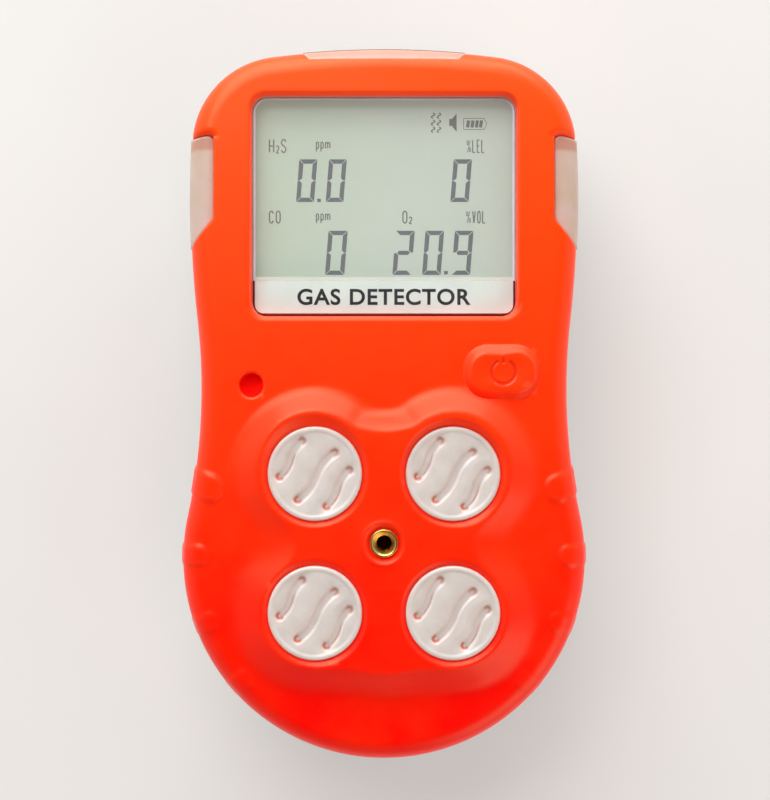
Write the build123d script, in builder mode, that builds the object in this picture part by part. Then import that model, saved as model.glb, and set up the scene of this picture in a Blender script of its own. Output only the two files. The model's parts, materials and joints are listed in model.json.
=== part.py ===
"""Portable four-gas detector, lying on its back: +X right, +Y to the display's end, +Z up.

The origin is at the centre of the outline, on the surface that the back rests on. Millimetres.
"""
from build123d import *
from math import atan2, cos, degrees, hypot, radians, sin
import os

os.makedirs("parts", exist_ok=True)

# Outline, seen from the front: a top arc, then on each side a shoulder, a waist and the tail circle
TOP_Y = 60.0
TOP_R = 150.0
CORNER_R = 15.5
SHOULDER_HALF = 32.75
SHOULDER_Y = 35.0
WAIST_HALF = 30.9
WAIST_Y = 2.5
TAIL_R = 34.0
TAIL_Y = -26.2

# Heights
REST_Z = 0.0
BACK_Z = 7.0
SPLIT_Z = 16.0
FACE_Z = 31.0
PLATEAU_Z = 34.0

# Casing
WALL = 2.4
BACK_WALL = 2.0
CEILING_Z = FACE_Z - WALL
PLATEAU_CEILING_Z = 30.6
FRONT_EDGE_R = 3.6
BACK_EDGE_R = 3.5
BULGE_INSET = 9.3
BULGE_TOP_Y = 9.0
BULGE_CORNER_R = 5.0
BULGE_EDGE_R = 2.5

# Grip ribs, radial about the tail's centre
RIB_ANGLES = (22.5, 1.5, -19.5, -40.5)
RIB_WIDTH = 3.8
RIB_REACH = 4.8
RIB_PROUD = 0.3

# Sensors, at the corners of a rectangle
SENSOR_X = 11.45
SENSOR_NEAR_Y = -11.65
SENSOR_FAR_Y = -34.75
SENSOR_R = 10.1
SENSOR_TOP_Z = 29.6
SENSOR_HEIGHT = 16.6
SENSOR_POCKET_R = 10.8
SENSORS = {
    "h2s": (-SENSOR_X, SENSOR_NEAR_Y),
    "lel": (SENSOR_X, SENSOR_NEAR_Y),
    "co": (-SENSOR_X, SENSOR_FAR_Y),
    "o2": (SENSOR_X, SENSOR_FAR_Y),
}
PIN_CIRCLE_R = 6.75
PIN_R = 0.75

# Sensor plateau and grilles
PLATEAU_R = 13.6
PLATEAU_DIP_R = 5.0
PLATEAU_EDGE_R = 2.6
GRILLE_R = 7.85
GRILLE_Z = 32.15
GRILLE_THICK = 1.0
GRILLE_CHAMFER = 0.35
SEAT_R = 7.95
SEAT_Z = 31.9
SEAT_CHAMFER = 1.1
GAS_HOLE_R = 6.0
SLOT_WIDTH = 1.3
SLOT_TURN = 18
# Each slot of a grille: its middle from the grille's centre, its length and the slant of its chord
SLOTS = [((-4.0, 2.45), 6.9, 58), ((0.2, -0.4), 9.9, 52), ((3.8, -2.45), 7.0, 58)]

# Calibration insert
INSERT_Y = (SENSOR_NEAR_Y + SENSOR_FAR_Y) / 2
INSERT_R = 2.4
INSERT_BORE_R = 1.25
INSERT_TOP_Z = 33.0
INSERT_LENGTH = 6.0
INSERT_BOSS_R = 4.2
INSERT_SINK = 0.8

# Display window
WINDOW_HALF = 22.2
WINDOW_LOW_Y = 14.7
WINDOW_HIGH_Y = 51.7
WINDOW_CORNER_R = 2.5
WINDOW_FACE_HALF = 22.45
WINDOW_FACE_LOW_Y = 14.55
WINDOW_FACE_HIGH_Y = 52.15
LENS_FLANGE = 1.0
LENS_TOP_Z = 28.2
LENS_THICK = 1.6
LABEL_HALF = 21.75
LABEL_Y = (15.2, 20.7)
LABEL_THICK = 0.25
LABEL_CORNER_R = 1.4
LCD_Z = 24.4
LCD_THICK = 1.8
LCD_HALF = 22.4
LCD_Y = (15.6, 52.8)
BACKLIGHT_HALF = 22.2
BACKLIGHT_Y = (18.6, 52.6)
ZEBRA_HALF = 20.0
ZEBRA_Y = (15.9, 17.7)
BOARD_Z = 19.3
BOARD_THICK = 1.6
BOARD_TOP_Z = BOARD_Z + BOARD_THICK

# Power button and its switch
BUTTON = (19.65, 5.35)
BUTTON_SIZE = (12.7, 9.1)
BUTTON_R = 4.1
BUTTON_TOP_Z = 32.1
BUTTON_GAP = 0.2
BUTTON_BEVEL = 0.9
BUTTON_FLANGE = 0.8
BUTTON_STEM_R = 2.0
SWITCH_HALF = 3.0
SWITCH_TOP_Z = 24.2
PLUNGER_R = 1.7
PLUNGER_FOOT_Z = 23.3
PLUNGER_TOP_Z = 25.6

# Buzzer port
BUZZER = (-22.2, 3.1)
BUZZER_R = 5.5
BUZZER_TOP_Z = 27.0
BUZZER_HOLE_R = 1.2
PORT_R = 2.0
MEMBRANE_R = 3.4
MEMBRANE_THICK = 0.4

# Alarm windows
NOTCH_X = 28.5
NOTCH_HIGH_Y = 45.3
NOTCH_FALL = 0.16
NOTCH_CORNER_R = 1.4
NOTCH_LOW_Y = 30.9
NOTCH_END = (32.4, 26.4)
NOTCH_Z = 19.0
TOP_NOTCH_Y = 57.9
TOP_NOTCH_HALF = 12.7
TOP_NOTCH_MOUTH_HALF = 14.2
TOP_NOTCH_Z = 21.0
GLAZING_PROUD = 0.3
GLAZING_TOP_Z = 30.0
GLAZING_GAP = 0.08
LED_X = 27.2
LED_Y = (33.5, 38.5)
TOP_LED_Y = (54.8, 56.4)
LED_HEIGHT = 1.8

# Screws
CASE_SCREWS = [(26.0, 48.2), (26.2, -11.0), (17.5, -47.5)]
BOARD_SCREWS = [(26.4, 18.0), (14.0, 55.2)]
CASE_BOSS_R = 2.7
CASE_COLUMN_R = 3.7
BOARD_POST_R = 1.6
SCREW_HEAD_Z = (8.5, 10.5)
SCREW_HEAD_R = 2.2
SCREW_R = 1.25
SCREW_WELL_R = 2.5
SCREW_HOLE_R = 1.4
SCREW_INSERT_LENGTH = 5.0
SCREW_INSERT_R = 1.78
STAR_R = 1.1
BOARD_SCREW_R = 0.8
BOARD_HEAD_R = 1.5
BOARD_HEAD_THICK = 1.2
BOARD_SCREW_LENGTH = 3.8

# Sensor board and battery
SENSOR_BOARD_Z = 9.2
SENSOR_BOARD_TOP_Z = SENSOR_BOARD_Z + BOARD_THICK
BATTERY_HALF = 17.0
BATTERY_Y = (-40.0, 2.0)
BATTERY_Z = (2.6, 8.6)
PAD_HALF = 15.0
PAD_Y = (-38.0, 0.0)
# Chips under the main board: middle, width, length and thickness
MAIN_CHIPS = [
    (3, 22, 9, 9, 1.2),
    (15, 24, 5, 6, 1.4),
    (-14, 24, 7, 5, 1.5),
    (14, 38, 6, 4, 1.0),
    (5, 38, 4, 4, 1.0),
    (-14, 12, 5, 5, 1.6),
    (14, 11, 8, 3.5, 2.0),
    (12, 49, 4, 3, 1.2),
]
# Square chips on the sensor board: middle, size and thickness
SENSOR_CHIPS = [(0, INSERT_Y, 5, 1.2), (15, 3, 5, 1.4), (-15, 3, 5, 1.4), (0, -46.5, 5, 1.6)]

# Vibration motor, along X
MOTOR_Y = 44.0
MOTOR_Z = 14.4
MOTOR_X = -13.0
MOTOR_HALF = 5.5
MOTOR_R = 3.5
SHAFT_X = -5.1
SHAFT_HALF = 2.5
SHAFT_R = 0.5
WEIGHT_X = -4.7
WEIGHT_HALF = 1.9
WEIGHT_R = 3.1
WEIGHT_CUT_Z = 0.8
HOLDER_X = (-17.0, -9.0)
HOLDER_HALF = 4.2
HOLDER_LOW_Z = 10.5

# Seal in the split line
SEAL_INSET = 0.8
SEAL_WIDTH = 0.9
SEAL_DEPTH = 0.9

# Charging port at the tail's end
PORT_HALF = 4.6
PORT_LOW_Z = 9.35
PORT_HIGH_Z = 12.85
FLAP_AXIS = (-59.1, 13.8)
FLAP_BARREL_R = 0.8
FLAP_PIN_R = 0.35
FLAP_PIN_HALF = 5.5
FLAP_HALF = 6.6
FLAP_BARREL_HALF = 4.4
FLAP_LOW_Z = 8.65
FLAP_HIGH_Z = 12.4
FLAP_THICK = 1.3
FLAP_GAP = 0.15
FLAP_TONGUE_HALF = 4.0
LUG_TOP_Z = 14.85
SOCKET_HALF = 4.47
SOCKET_Y = (-57.3, -50.3)
SOCKET_Z = (9.5, 12.7)
SOCKET_WALL = 0.35
TONGUE_HALF = 3.3

# Belt clip on the back
CLIP_PIVOT_Y = 40.0
CLIP_PIVOT_Z = 3.4
CLIP_PIN_R = 1.0
CLIP_BASE_HALF = 9.4
CLIP_ARM_HALF = 8.0
CLIP_BASE_Z = 5.8
CLIP_ARM_THICK = 1.1
CLIP_JAW_Y = 13.0
CLIP_THUMB_Y = 55.0
CLIP_SCREWS = [(-5.0, 30.0), (5.0, 30.0)]
CLIP_EAR_R = 2.1
CLIP_HEAD_R = 1.5
CLIP_SINK_R = 2.35
CLIP_SCREW_R = 1.2
CLIP_BOSS_R = 2.6
SPRING_HALF = 5.0
SPRING_R = 2.2
SPRING_BORE_R = 1.4
SPRING_WIRE = 0.8
SPRING_LEG = 8.0

# Plate on the back
PLATE_HALF = 15.0
PLATE_Y = (-40.0, -12.0)
PLATE_DEPTH = 0.4
PLATE_GAP = 0.2

BOTTOM = (Align.CENTER, Align.CENTER, Align.MIN)


def save(part, name):
    """Labels a finished piece and writes its file."""
    part.label = name
    export_step(part, f"parts/{name}.step")


def both_sides(points):
    """The points and their mirror images across the centre plane."""
    return points + [(-x, y) for x, y in points]


def block(low, high, mode=Mode.ADD):
    """A block between two corners, in the part being built."""
    size = [b - a for a, b in zip(low, high)]
    with Locations(low):
        Box(*size, align=(Align.MIN, Align.MIN, Align.MIN), mode=mode)


def rods(points, low, high, radius, mode=Mode.ADD):
    """Upright cylinders between two heights, in the part being built."""
    with Locations([(x, y, low) for x, y in points]):
        Cylinder(radius, high - low, align=BOTTOM, mode=mode)


def cross_rod(half, y, z, radius, mode=Mode.ADD, x=0.0):
    """A cylinder along X about a point, in the part being built."""
    with Locations((x, y, z)):
        Cylinder(radius, 2 * half, rotation=(0, 90, 0), mode=mode)


def prism(face, low, high, mode=Mode.ADD):
    """A flat sketch raised between two heights, in the part being built."""
    extrude(face.moved(Location((0, 0, low))), amount=high - low, mode=mode)


def circles_meet(first, first_r, second, second_r):
    """The right-hand crossing of a circle and one further down."""
    dx = second[0] - first[0]
    dy = second[1] - first[1]
    apart = hypot(dx, dy)
    along = (apart**2 + first_r**2 - second_r**2) / (2 * apart)
    across = (first_r**2 - along**2) ** 0.5
    points = []
    for side in (-across, across):
        x = first[0] + (along * dx - side * dy) / apart
        y = first[1] + (along * dy + side * dx) / apart
        points.append((x, y))
    return max(points)


def angle(centre, point):
    """The direction of a point from a centre, in degrees."""
    return degrees(atan2(point[1] - centre[1], point[0] - centre[0]))


def base_outline():
    """The body's outline as a face, with every join between arcs tangent."""
    waist_rise = WAIST_Y - TAIL_Y
    waist_r = (WAIST_HALF**2 + waist_rise**2 - TAIL_R**2) / (2 * (TAIL_R - WAIST_HALF))
    step = SHOULDER_HALF - WAIST_HALF
    shoulder_rise = SHOULDER_Y - WAIST_Y
    shoulder_r = (step**2 + shoulder_rise**2) / (2 * step) - waist_r
    top_c = (0.0, TOP_Y - TOP_R)
    shoulder_c = (SHOULDER_HALF - shoulder_r, SHOULDER_Y)
    waist_c = (WAIST_HALF + waist_r, WAIST_Y)
    tail_c = (0.0, TAIL_Y)
    corner = circles_meet(top_c, TOP_R, shoulder_c, shoulder_r)
    shoulder_end = angle(shoulder_c, waist_c)
    shoulder_start = angle(shoulder_c, corner)
    waist_start = angle(waist_c, shoulder_c) % 360
    waist_end = angle(waist_c, tail_c) % 360
    tail_start = angle(tail_c, waist_c)
    top_start = angle(top_c, corner)
    with BuildSketch() as outline:
        with BuildLine():
            CenterArc(shoulder_c, shoulder_r, shoulder_start, shoulder_end - shoulder_start)
            CenterArc(waist_c, waist_r, waist_start, waist_end - waist_start)
            CenterArc(tail_c, TAIL_R, tail_start, -90 - tail_start)
            mirror(about=Plane.YZ)
            CenterArc(top_c, TOP_R, top_start, 180 - 2 * top_start)
        make_face()
        fillet(outline.vertices().filter_by_position(Axis.Y, 50, TOP_Y), CORNER_R)
    return outline.sketch


OUTLINE = base_outline()


def outline(grow=0.0):
    """The body's outline as a face, grown or shrunk all round."""
    with BuildSketch() as grown:
        add(OUTLINE)
        if grow:
            offset(amount=grow)
    return grown.sketch


def body(grow, low, high, top_r=0.0, bottom_r=0.0):
    """The outline as a solid, with rounded edges."""
    with BuildPart() as solid:
        prism(outline(grow), low, high)
        if top_r:
            fillet(solid.faces().sort_by(Axis.Z)[-1].edges(), top_r)
        if bottom_r:
            fillet(solid.faces().sort_by(Axis.Z)[0].edges(), bottom_r)
    return solid.part


def seal_ring(inset, width, low, high):
    """A closed band inside the outline."""
    with BuildPart() as ring:
        prism(outline(-inset), low, high)
        prism(outline(-inset - width), low, high, Mode.SUBTRACT)
    return ring.part


def grip_ribs(skin):
    """The part of a skin that lies under radial bars along both flanks of the tail."""
    angles = [a for rib in RIB_ANGLES for a in (rib, 180 - rib)]
    inner = TAIL_R - RIB_REACH
    length = 3 * RIB_REACH
    middle = inner + length / 2
    with BuildPart() as ribs:
        with BuildSketch():
            for a in angles:
                x = middle * cos(radians(a))
                y = TAIL_Y + middle * sin(radians(a))
                with Locations(Location((x, y), a)):
                    SlotOverall(length, RIB_WIDTH)
        extrude(amount=PLATEAU_Z)
        add(skin, mode=Mode.INTERSECT)
    return ribs.part


def plateau_outline():
    """Four overlapping discs, one over each sensor, with the hollows between them filled."""
    width = 2 * SENSOR_X
    height = SENSOR_NEAR_Y - SENSOR_FAR_Y
    with BuildSketch() as plateau:
        with Locations(*SENSORS.values()):
            Circle(PLATEAU_R)
        with Locations((0, INSERT_Y)):
            Rectangle(width, height)
        fillet(plateau.vertices(), PLATEAU_DIP_R)
    return plateau.sketch


def bulge_outline(grow=0.0):
    """The battery bulge on the back: the outline drawn in, and cut off across the waist."""
    with BuildSketch() as bulge:
        add(outline(-BULGE_INSET))
        with Locations((0, BULGE_TOP_Y)):
            Rectangle(3 * TAIL_R, TOP_Y, align=(Align.CENTER, Align.MIN), mode=Mode.SUBTRACT)
        corners = bulge.vertices().filter_by_position(Axis.Y, BULGE_TOP_Y - 1, BULGE_TOP_Y + 1)
        fillet(corners, BULGE_CORNER_R)
        if grow:
            offset(amount=grow)
    return bulge.sketch


def window_outline(half, low, high, radius):
    """A rounded rectangle across the centre plane, between two values of Y."""
    with BuildSketch() as window:
        with Locations((0, (low + high) / 2)):
            RectangleRounded(2 * half, high - low, radius)
    return window.sketch


def side_notch(grow=0.0):
    """The right-hand alarm window in plan, open to the outside: nearly square above, slanting below."""
    rise = NOTCH_LOW_Y - NOTCH_END[1]
    run = NOTCH_END[0] - NOTCH_X
    outside = SHOULDER_HALF + 5
    high = NOTCH_HIGH_Y - NOTCH_FALL * (outside - NOTCH_X)
    low = NOTCH_LOW_Y - rise * (outside - NOTCH_X) / run
    corners = [(NOTCH_X, NOTCH_HIGH_Y), (outside, high), (outside, low), (NOTCH_X, NOTCH_LOW_Y)]
    with BuildSketch() as notch:
        with BuildLine():
            Polyline(*corners, close=True)
        make_face()
        inner = notch.vertices().filter_by_position(Axis.X, NOTCH_X - 1, NOTCH_X + 1)
        fillet(inner, NOTCH_CORNER_R)
        if grow:
            offset(amount=grow)
    return notch.sketch


def top_notch(grow=0.0):
    """The alarm window in the top edge, in plan, wider at its mouth."""
    rise = TOP_Y - TOP_NOTCH_Y
    mouth = TOP_NOTCH_HALF + 3 * (TOP_NOTCH_MOUTH_HALF - TOP_NOTCH_HALF)
    far = TOP_NOTCH_Y + 3 * rise
    corners = [(-TOP_NOTCH_HALF, TOP_NOTCH_Y), (TOP_NOTCH_HALF, TOP_NOTCH_Y), (mouth, far), (-mouth, far)]
    with BuildSketch() as notch:
        with BuildLine():
            Polyline(*corners, close=True)
        make_face()
        if grow:
            offset(amount=grow)
    return notch.sketch


def button_outline(grow=0.0):
    """The power button in plan."""
    with BuildSketch() as pad:
        with Locations(BUTTON):
            RectangleRounded(BUTTON_SIZE[0] + 2 * grow, BUTTON_SIZE[1] + 2 * grow, BUTTON_R + grow)
    return pad.sketch


# Casing ---------------------------------------------------------------------------------------


def make_front_shell():
    """The front half: face, sensor plateau, ribs, and every opening in the face."""
    face_body = body(0, SPLIT_Z, FACE_Z, top_r=FRONT_EDGE_R)
    ribs = grip_ribs(body(RIB_PROUD, SPLIT_Z, FACE_Z + RIB_PROUD, top_r=FRONT_EDGE_R + RIB_PROUD))
    with BuildPart() as plateau:
        prism(plateau_outline(), FACE_Z - 1, PLATEAU_Z)
        fillet(plateau.faces().sort_by(Axis.Z)[-1].edges(), PLATEAU_EDGE_R)
    window_low = window_outline(WINDOW_HALF, WINDOW_LOW_Y, WINDOW_HIGH_Y, WINDOW_CORNER_R)
    window_high = window_outline(
        WINDOW_FACE_HALF, WINDOW_FACE_LOW_Y, WINDOW_FACE_HIGH_Y, WINDOW_CORNER_R
    )
    right_notch = side_notch()
    with BuildPart() as shell:
        add(face_body)
        add(ribs)
        add(plateau.part)
        prism(outline(-WALL), SPLIT_Z - 1, CEILING_Z, Mode.SUBTRACT)
        rods(SENSORS.values(), CEILING_Z - 1, PLATEAU_CEILING_Z, SENSOR_POCKET_R, Mode.SUBTRACT)
        # bosses for the case screws' inserts, the board screws and the calibration insert
        rods(both_sides(CASE_SCREWS), SPLIT_Z, CEILING_Z, CASE_BOSS_R)
        insert_top = SPLIT_Z + SCREW_INSERT_LENGTH + 0.2
        rods(both_sides(CASE_SCREWS), SPLIT_Z - 1, insert_top, SCREW_INSERT_R + 0.02, Mode.SUBTRACT)
        rods(both_sides(BOARD_SCREWS), BOARD_TOP_Z, CEILING_Z, BOARD_POST_R)
        pilot_top = BOARD_TOP_Z + BOARD_SCREW_LENGTH + 0.4
        rods(both_sides(BOARD_SCREWS), BOARD_TOP_Z - 1, pilot_top, BOARD_SCREW_R + 0.05, Mode.SUBTRACT)
        insert_low = INSERT_TOP_Z - INSERT_LENGTH
        rods([(0, INSERT_Y)], insert_low - 1, PLATEAU_CEILING_Z, INSERT_BOSS_R)
        # display window, drawn in towards the lens
        low_face = window_low.moved(Location((0, 0, CEILING_Z - 0.1))).face()
        high_face = window_high.moved(Location((0, 0, FACE_Z))).face()
        loft([low_face, high_face], mode=Mode.SUBTRACT)
        # alarm windows
        prism(right_notch, NOTCH_Z, PLATEAU_Z, Mode.SUBTRACT)
        left_notch = mirror(right_notch, about=Plane.YZ, mode=Mode.PRIVATE)
        prism(left_notch, NOTCH_Z, PLATEAU_Z, Mode.SUBTRACT)
        prism(top_notch(), TOP_NOTCH_Z, PLATEAU_Z, Mode.SUBTRACT)
        # button opening and buzzer port
        prism(button_outline(BUTTON_GAP), CEILING_Z - 1, PLATEAU_Z, Mode.SUBTRACT)
        rods([BUZZER], CEILING_Z - 1, FACE_Z + 1, PORT_R, Mode.SUBTRACT)
        # grille seats with their bevelled rims, and the gas holes below them
        rods(SENSORS.values(), SEAT_Z, PLATEAU_Z, SEAT_R, Mode.SUBTRACT)
        rods(SENSORS.values(), PLATEAU_CEILING_Z - 1, SEAT_Z, GAS_HOLE_R, Mode.SUBTRACT)
        with Locations([(x, y, PLATEAU_Z - SEAT_CHAMFER / 2) for x, y in SENSORS.values()]):
            Cone(SEAT_R, SEAT_R + SEAT_CHAMFER, SEAT_CHAMFER, mode=Mode.SUBTRACT)
        # countersunk seat of the calibration insert
        rods([(0, INSERT_Y)], insert_low - 0.5, PLATEAU_Z, INSERT_R, Mode.SUBTRACT)
        with Locations((0, INSERT_Y, PLATEAU_Z - INSERT_SINK / 2)):
            Cone(INSERT_R + 0.05, INSERT_R + 0.05 + INSERT_SINK, INSERT_SINK, mode=Mode.SUBTRACT)
    save(shell.part, "front_shell")


def make_rear_cover():
    """The back half: a shallow tray with the battery bulge, screw wells and the charging port."""
    tray = body(0, BACK_Z, SPLIT_Z, bottom_r=BACK_EDGE_R)
    ribs = grip_ribs(body(RIB_PROUD, BACK_Z - RIB_PROUD, SPLIT_Z, bottom_r=BACK_EDGE_R + RIB_PROUD))
    with BuildPart() as bulge:
        prism(bulge_outline(), REST_Z, BACK_Z + 1)
        fillet(bulge.faces().sort_by(Axis.Z)[0].edges(), BULGE_EDGE_R)
    with BuildPart() as pocket:
        # the recess that the port's flap lies in, narrower where the hinge lugs stand
        wide = FLAP_HALF + 0.2
        narrow = FLAP_BARREL_HALF + 0.2
        far = -2 * TAIL_R
        block((-wide, far, FLAP_LOW_Z - FLAP_GAP), (wide, TAIL_Y, FLAP_HIGH_Z + 0.35))
        block((-narrow, far, FLAP_HIGH_Z), (narrow, TAIL_Y, LUG_TOP_Z))
        prism(outline(-FLAP_THICK - FLAP_GAP), REST_Z, SPLIT_Z, Mode.SUBTRACT)
        cross_rod(narrow, *FLAP_AXIS, FLAP_BARREL_R + 0.12)
    with BuildPart() as cover:
        add(tray)
        add(ribs)
        add(bulge.part)
        prism(outline(-WALL), BACK_Z + BACK_WALL, SPLIT_Z + 1, Mode.SUBTRACT)
        prism(bulge_outline(-BACK_WALL), REST_Z + BACK_WALL, SPLIT_Z, Mode.SUBTRACT)
        # screw columns, each with a well for the head
        rods(both_sides(CASE_SCREWS), BACK_Z + BACK_WALL, SPLIT_Z, CASE_COLUMN_R)
        rods(both_sides(CASE_SCREWS), REST_Z, SCREW_HEAD_Z[1], SCREW_WELL_R, Mode.SUBTRACT)
        rods(both_sides(CASE_SCREWS), SCREW_HEAD_Z[0], SPLIT_Z + 1, SCREW_HOLE_R, Mode.SUBTRACT)
        # bosses for the clip's screws
        rods(CLIP_SCREWS, BACK_Z + BACK_WALL, 13.0, CLIP_BOSS_R)
        rods(CLIP_SCREWS, BACK_Z - 1, 12.0, 1.3, Mode.SUBTRACT)
        # groove for the housing seal
        add(seal_ring(SEAL_INSET, SEAL_WIDTH, SPLIT_Z - SEAL_DEPTH, SPLIT_Z), mode=Mode.SUBTRACT)
        # charging port, with the recess and the pin holes of its flap
        add(pocket.part, mode=Mode.SUBTRACT)
        block((-PORT_HALF, -2 * TAIL_R, PORT_LOW_Z), (PORT_HALF, TAIL_Y, PORT_HIGH_Z), Mode.SUBTRACT)
        cross_rod(FLAP_PIN_HALF + 0.05, *FLAP_AXIS, FLAP_PIN_R + 0.01, Mode.SUBTRACT)
        # recess for the rear label
        block((-PLATE_HALF, PLATE_Y[0], REST_Z), (PLATE_HALF, PLATE_Y[1], PLATE_DEPTH), Mode.SUBTRACT)
    save(cover.part, "rear_cover")


# Parts in the casing's openings ----------------------------------------------------------------


def make_housing_seal():
    """The rubber ring in the split line."""
    low = SPLIT_Z - SEAL_DEPTH + 0.05
    save(seal_ring(SEAL_INSET + 0.05, SEAL_WIDTH - 0.1, low, SPLIT_Z), "housing_seal")


def alarm_window(plan, low):
    """A frosted window: the body's skin, a little lower and prouder, where it lies under a plan."""
    skin = body(GLAZING_PROUD, low, GLAZING_TOP_Z, top_r=FRONT_EDGE_R)
    with BuildPart() as window:
        prism(plan, low + GLAZING_GAP, PLATEAU_Z)
        add(skin, mode=Mode.INTERSECT)
        prism(outline(-WALL), low, CEILING_Z - 1, Mode.SUBTRACT)
    return window.part


def make_alarm_windows():
    """The three alarm windows and the light behind each."""
    right = alarm_window(side_notch(-GLAZING_GAP), NOTCH_Z)
    save(mirror(right, about=Plane.YZ), "alarm_window_left")
    save(right, "alarm_window_right")
    save(alarm_window(top_notch(-GLAZING_GAP), TOP_NOTCH_Z), "alarm_window_top")
    with BuildPart() as leds:
        high = BOARD_TOP_Z + LED_HEIGHT
        for x in (-LED_X, LED_X):
            block((x - 1, LED_Y[0], BOARD_TOP_Z), (x + 1, LED_Y[1], high))
        block((-2.5, TOP_LED_Y[0], BOARD_TOP_Z), (2.5, TOP_LED_Y[1], high))
    save(leds.part, "alarm_leds")


def make_display():
    """Lens, gasket, label, glass, light guide and contact strip, from the front to the board."""
    half = WINDOW_HALF + LENS_FLANGE
    low = WINDOW_LOW_Y - LENS_FLANGE
    high = WINDOW_HIGH_Y + LENS_FLANGE
    radius = WINDOW_CORNER_R + LENS_FLANGE
    with BuildPart() as lens:
        prism(window_outline(half, low, high, radius), LENS_TOP_Z - LENS_THICK, LENS_TOP_Z)
    save(lens.part, "display_window")
    with BuildPart() as gasket:
        prism(window_outline(half, low, high, radius), LENS_TOP_Z, CEILING_Z)
        back = 0.15
        inner = window_outline(
            WINDOW_HALF + back, WINDOW_LOW_Y - back, WINDOW_HIGH_Y + back, WINDOW_CORNER_R
        )
        prism(inner, LENS_TOP_Z, CEILING_Z, Mode.SUBTRACT)
    save(gasket.part, "window_gasket")
    with BuildPart() as label:
        high_z = LENS_TOP_Z + LABEL_THICK
        block((-LABEL_HALF, LABEL_Y[0], LENS_TOP_Z), (LABEL_HALF, LABEL_Y[1], high_z))
        fillet(label.edges().filter_by(Axis.Z).group_by(Axis.Y)[0], LABEL_CORNER_R)
    save(label.part, "label_strip")
    with BuildPart() as glass:
        block((-LCD_HALF, LCD_Y[0], LCD_Z), (LCD_HALF, LCD_Y[1], LCD_Z + LCD_THICK))
    save(glass.part, "lcd_glass")
    with BuildPart() as backlight:
        block((-BACKLIGHT_HALF, BACKLIGHT_Y[0], BOARD_TOP_Z), (BACKLIGHT_HALF, BACKLIGHT_Y[1], LCD_Z))
    save(backlight.part, "lcd_backlight")
    with BuildPart() as zebra:
        block((-ZEBRA_HALF, ZEBRA_Y[0], BOARD_TOP_Z), (ZEBRA_HALF, ZEBRA_Y[1], LCD_Z))
    save(zebra.part, "zebra_strip")


def make_power_button():
    """The raised pad, held under the face by its flange, and the switch that it works."""
    flange_z = CEILING_Z - 0.25
    with BuildPart() as button:
        prism(button_outline(), flange_z, BUTTON_TOP_Z)
        chamfer(button.faces().sort_by(Axis.Z)[-1].edges(), BUTTON_BEVEL)
        prism(button_outline(BUTTON_FLANGE), flange_z - 0.75, flange_z)
        rods([BUTTON], PLUNGER_TOP_Z + 0.05, flange_z - 0.7, BUTTON_STEM_R)
    save(button.part, "power_button")
    x, y = BUTTON
    with BuildPart() as switch:
        low = (x - SWITCH_HALF, y - SWITCH_HALF, BOARD_TOP_Z)
        block(low, (x + SWITCH_HALF, y + SWITCH_HALF, SWITCH_TOP_Z))
        rods([BUTTON], PLUNGER_FOOT_Z - 0.8, SWITCH_TOP_Z + 1, PLUNGER_R + 0.05, Mode.SUBTRACT)
    save(switch.part, "switch_body")
    with BuildPart() as plunger:
        rods([BUTTON], PLUNGER_FOOT_Z, PLUNGER_TOP_Z, PLUNGER_R)
    save(plunger.part, "switch_plunger")


def make_buzzer():
    """The sounder and the membrane that closes its port."""
    with BuildPart() as buzzer:
        rods([BUZZER], BOARD_TOP_Z, BUZZER_TOP_Z, BUZZER_R)
        rods([BUZZER], BUZZER_TOP_Z - 0.6, BUZZER_TOP_Z, BUZZER_HOLE_R, Mode.SUBTRACT)
    save(buzzer.part, "buzzer")
    with BuildPart() as membrane:
        rods([BUZZER], CEILING_Z - MEMBRANE_THICK, CEILING_Z, MEMBRANE_R)
    save(membrane.part, "buzzer_membrane")


# Sensors -------------------------------------------------------------------------------------


def make_grille(name, centre):
    """A frosted disc with three S-shaped slots, the middle one longer."""
    with BuildPart() as grille:
        rods([centre], GRILLE_Z, GRILLE_Z + GRILLE_THICK, GRILLE_R)
        chamfer(grille.edges().filter_by(GeomType.CIRCLE).sort_by(Axis.Z)[-1], GRILLE_CHAMFER)
        for place, length, slant in SLOTS:
            with BuildSketch(Plane.XY.offset(GRILLE_Z)):
                with Locations((centre[0] + place[0], centre[1] + place[1])):
                    SlotArc(slot_line(length, slant), SLOT_WIDTH)
            extrude(amount=GRILLE_THICK, mode=Mode.SUBTRACT)
    save(grille.part, f"grille_{name}")


def slot_line(length, slant):
    """The centre line of a slot about its middle: an S of two arcs, steep where they meet."""
    half = length / 2
    end = (half * cos(radians(slant)), half * sin(radians(slant)))
    steep = (cos(radians(slant + SLOT_TURN)), sin(radians(slant + SLOT_TURN)))
    with BuildLine(mode=Mode.PRIVATE) as line:
        TangentArc((0, 0), end, tangent=steep)
        TangentArc((0, 0), (-end[0], -end[1]), tangent=(-steep[0], -steep[1]))
    return line.wires()[0]


def make_sensor(name, centre):
    """A sensor can with its gas port, and the ring that seals it to the shell."""
    x, y = centre
    with BuildPart() as sensor:
        rods([centre], SENSOR_TOP_Z - SENSOR_HEIGHT, SENSOR_TOP_Z, SENSOR_R)
        chamfer(sensor.edges().filter_by(GeomType.CIRCLE), 0.4)
        rods([centre], SENSOR_TOP_Z - 0.6, SENSOR_TOP_Z, 2.0, Mode.SUBTRACT)
    save(sensor.part, f"sensor_{name}")
    with BuildPart() as gasket:
        rods([centre], SENSOR_TOP_Z, PLATEAU_CEILING_Z, 9.4)
        rods([centre], SENSOR_TOP_Z, PLATEAU_CEILING_Z, GAS_HOLE_R + 0.3, Mode.SUBTRACT)
    save(gasket.part, f"gasket_{name}")


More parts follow.
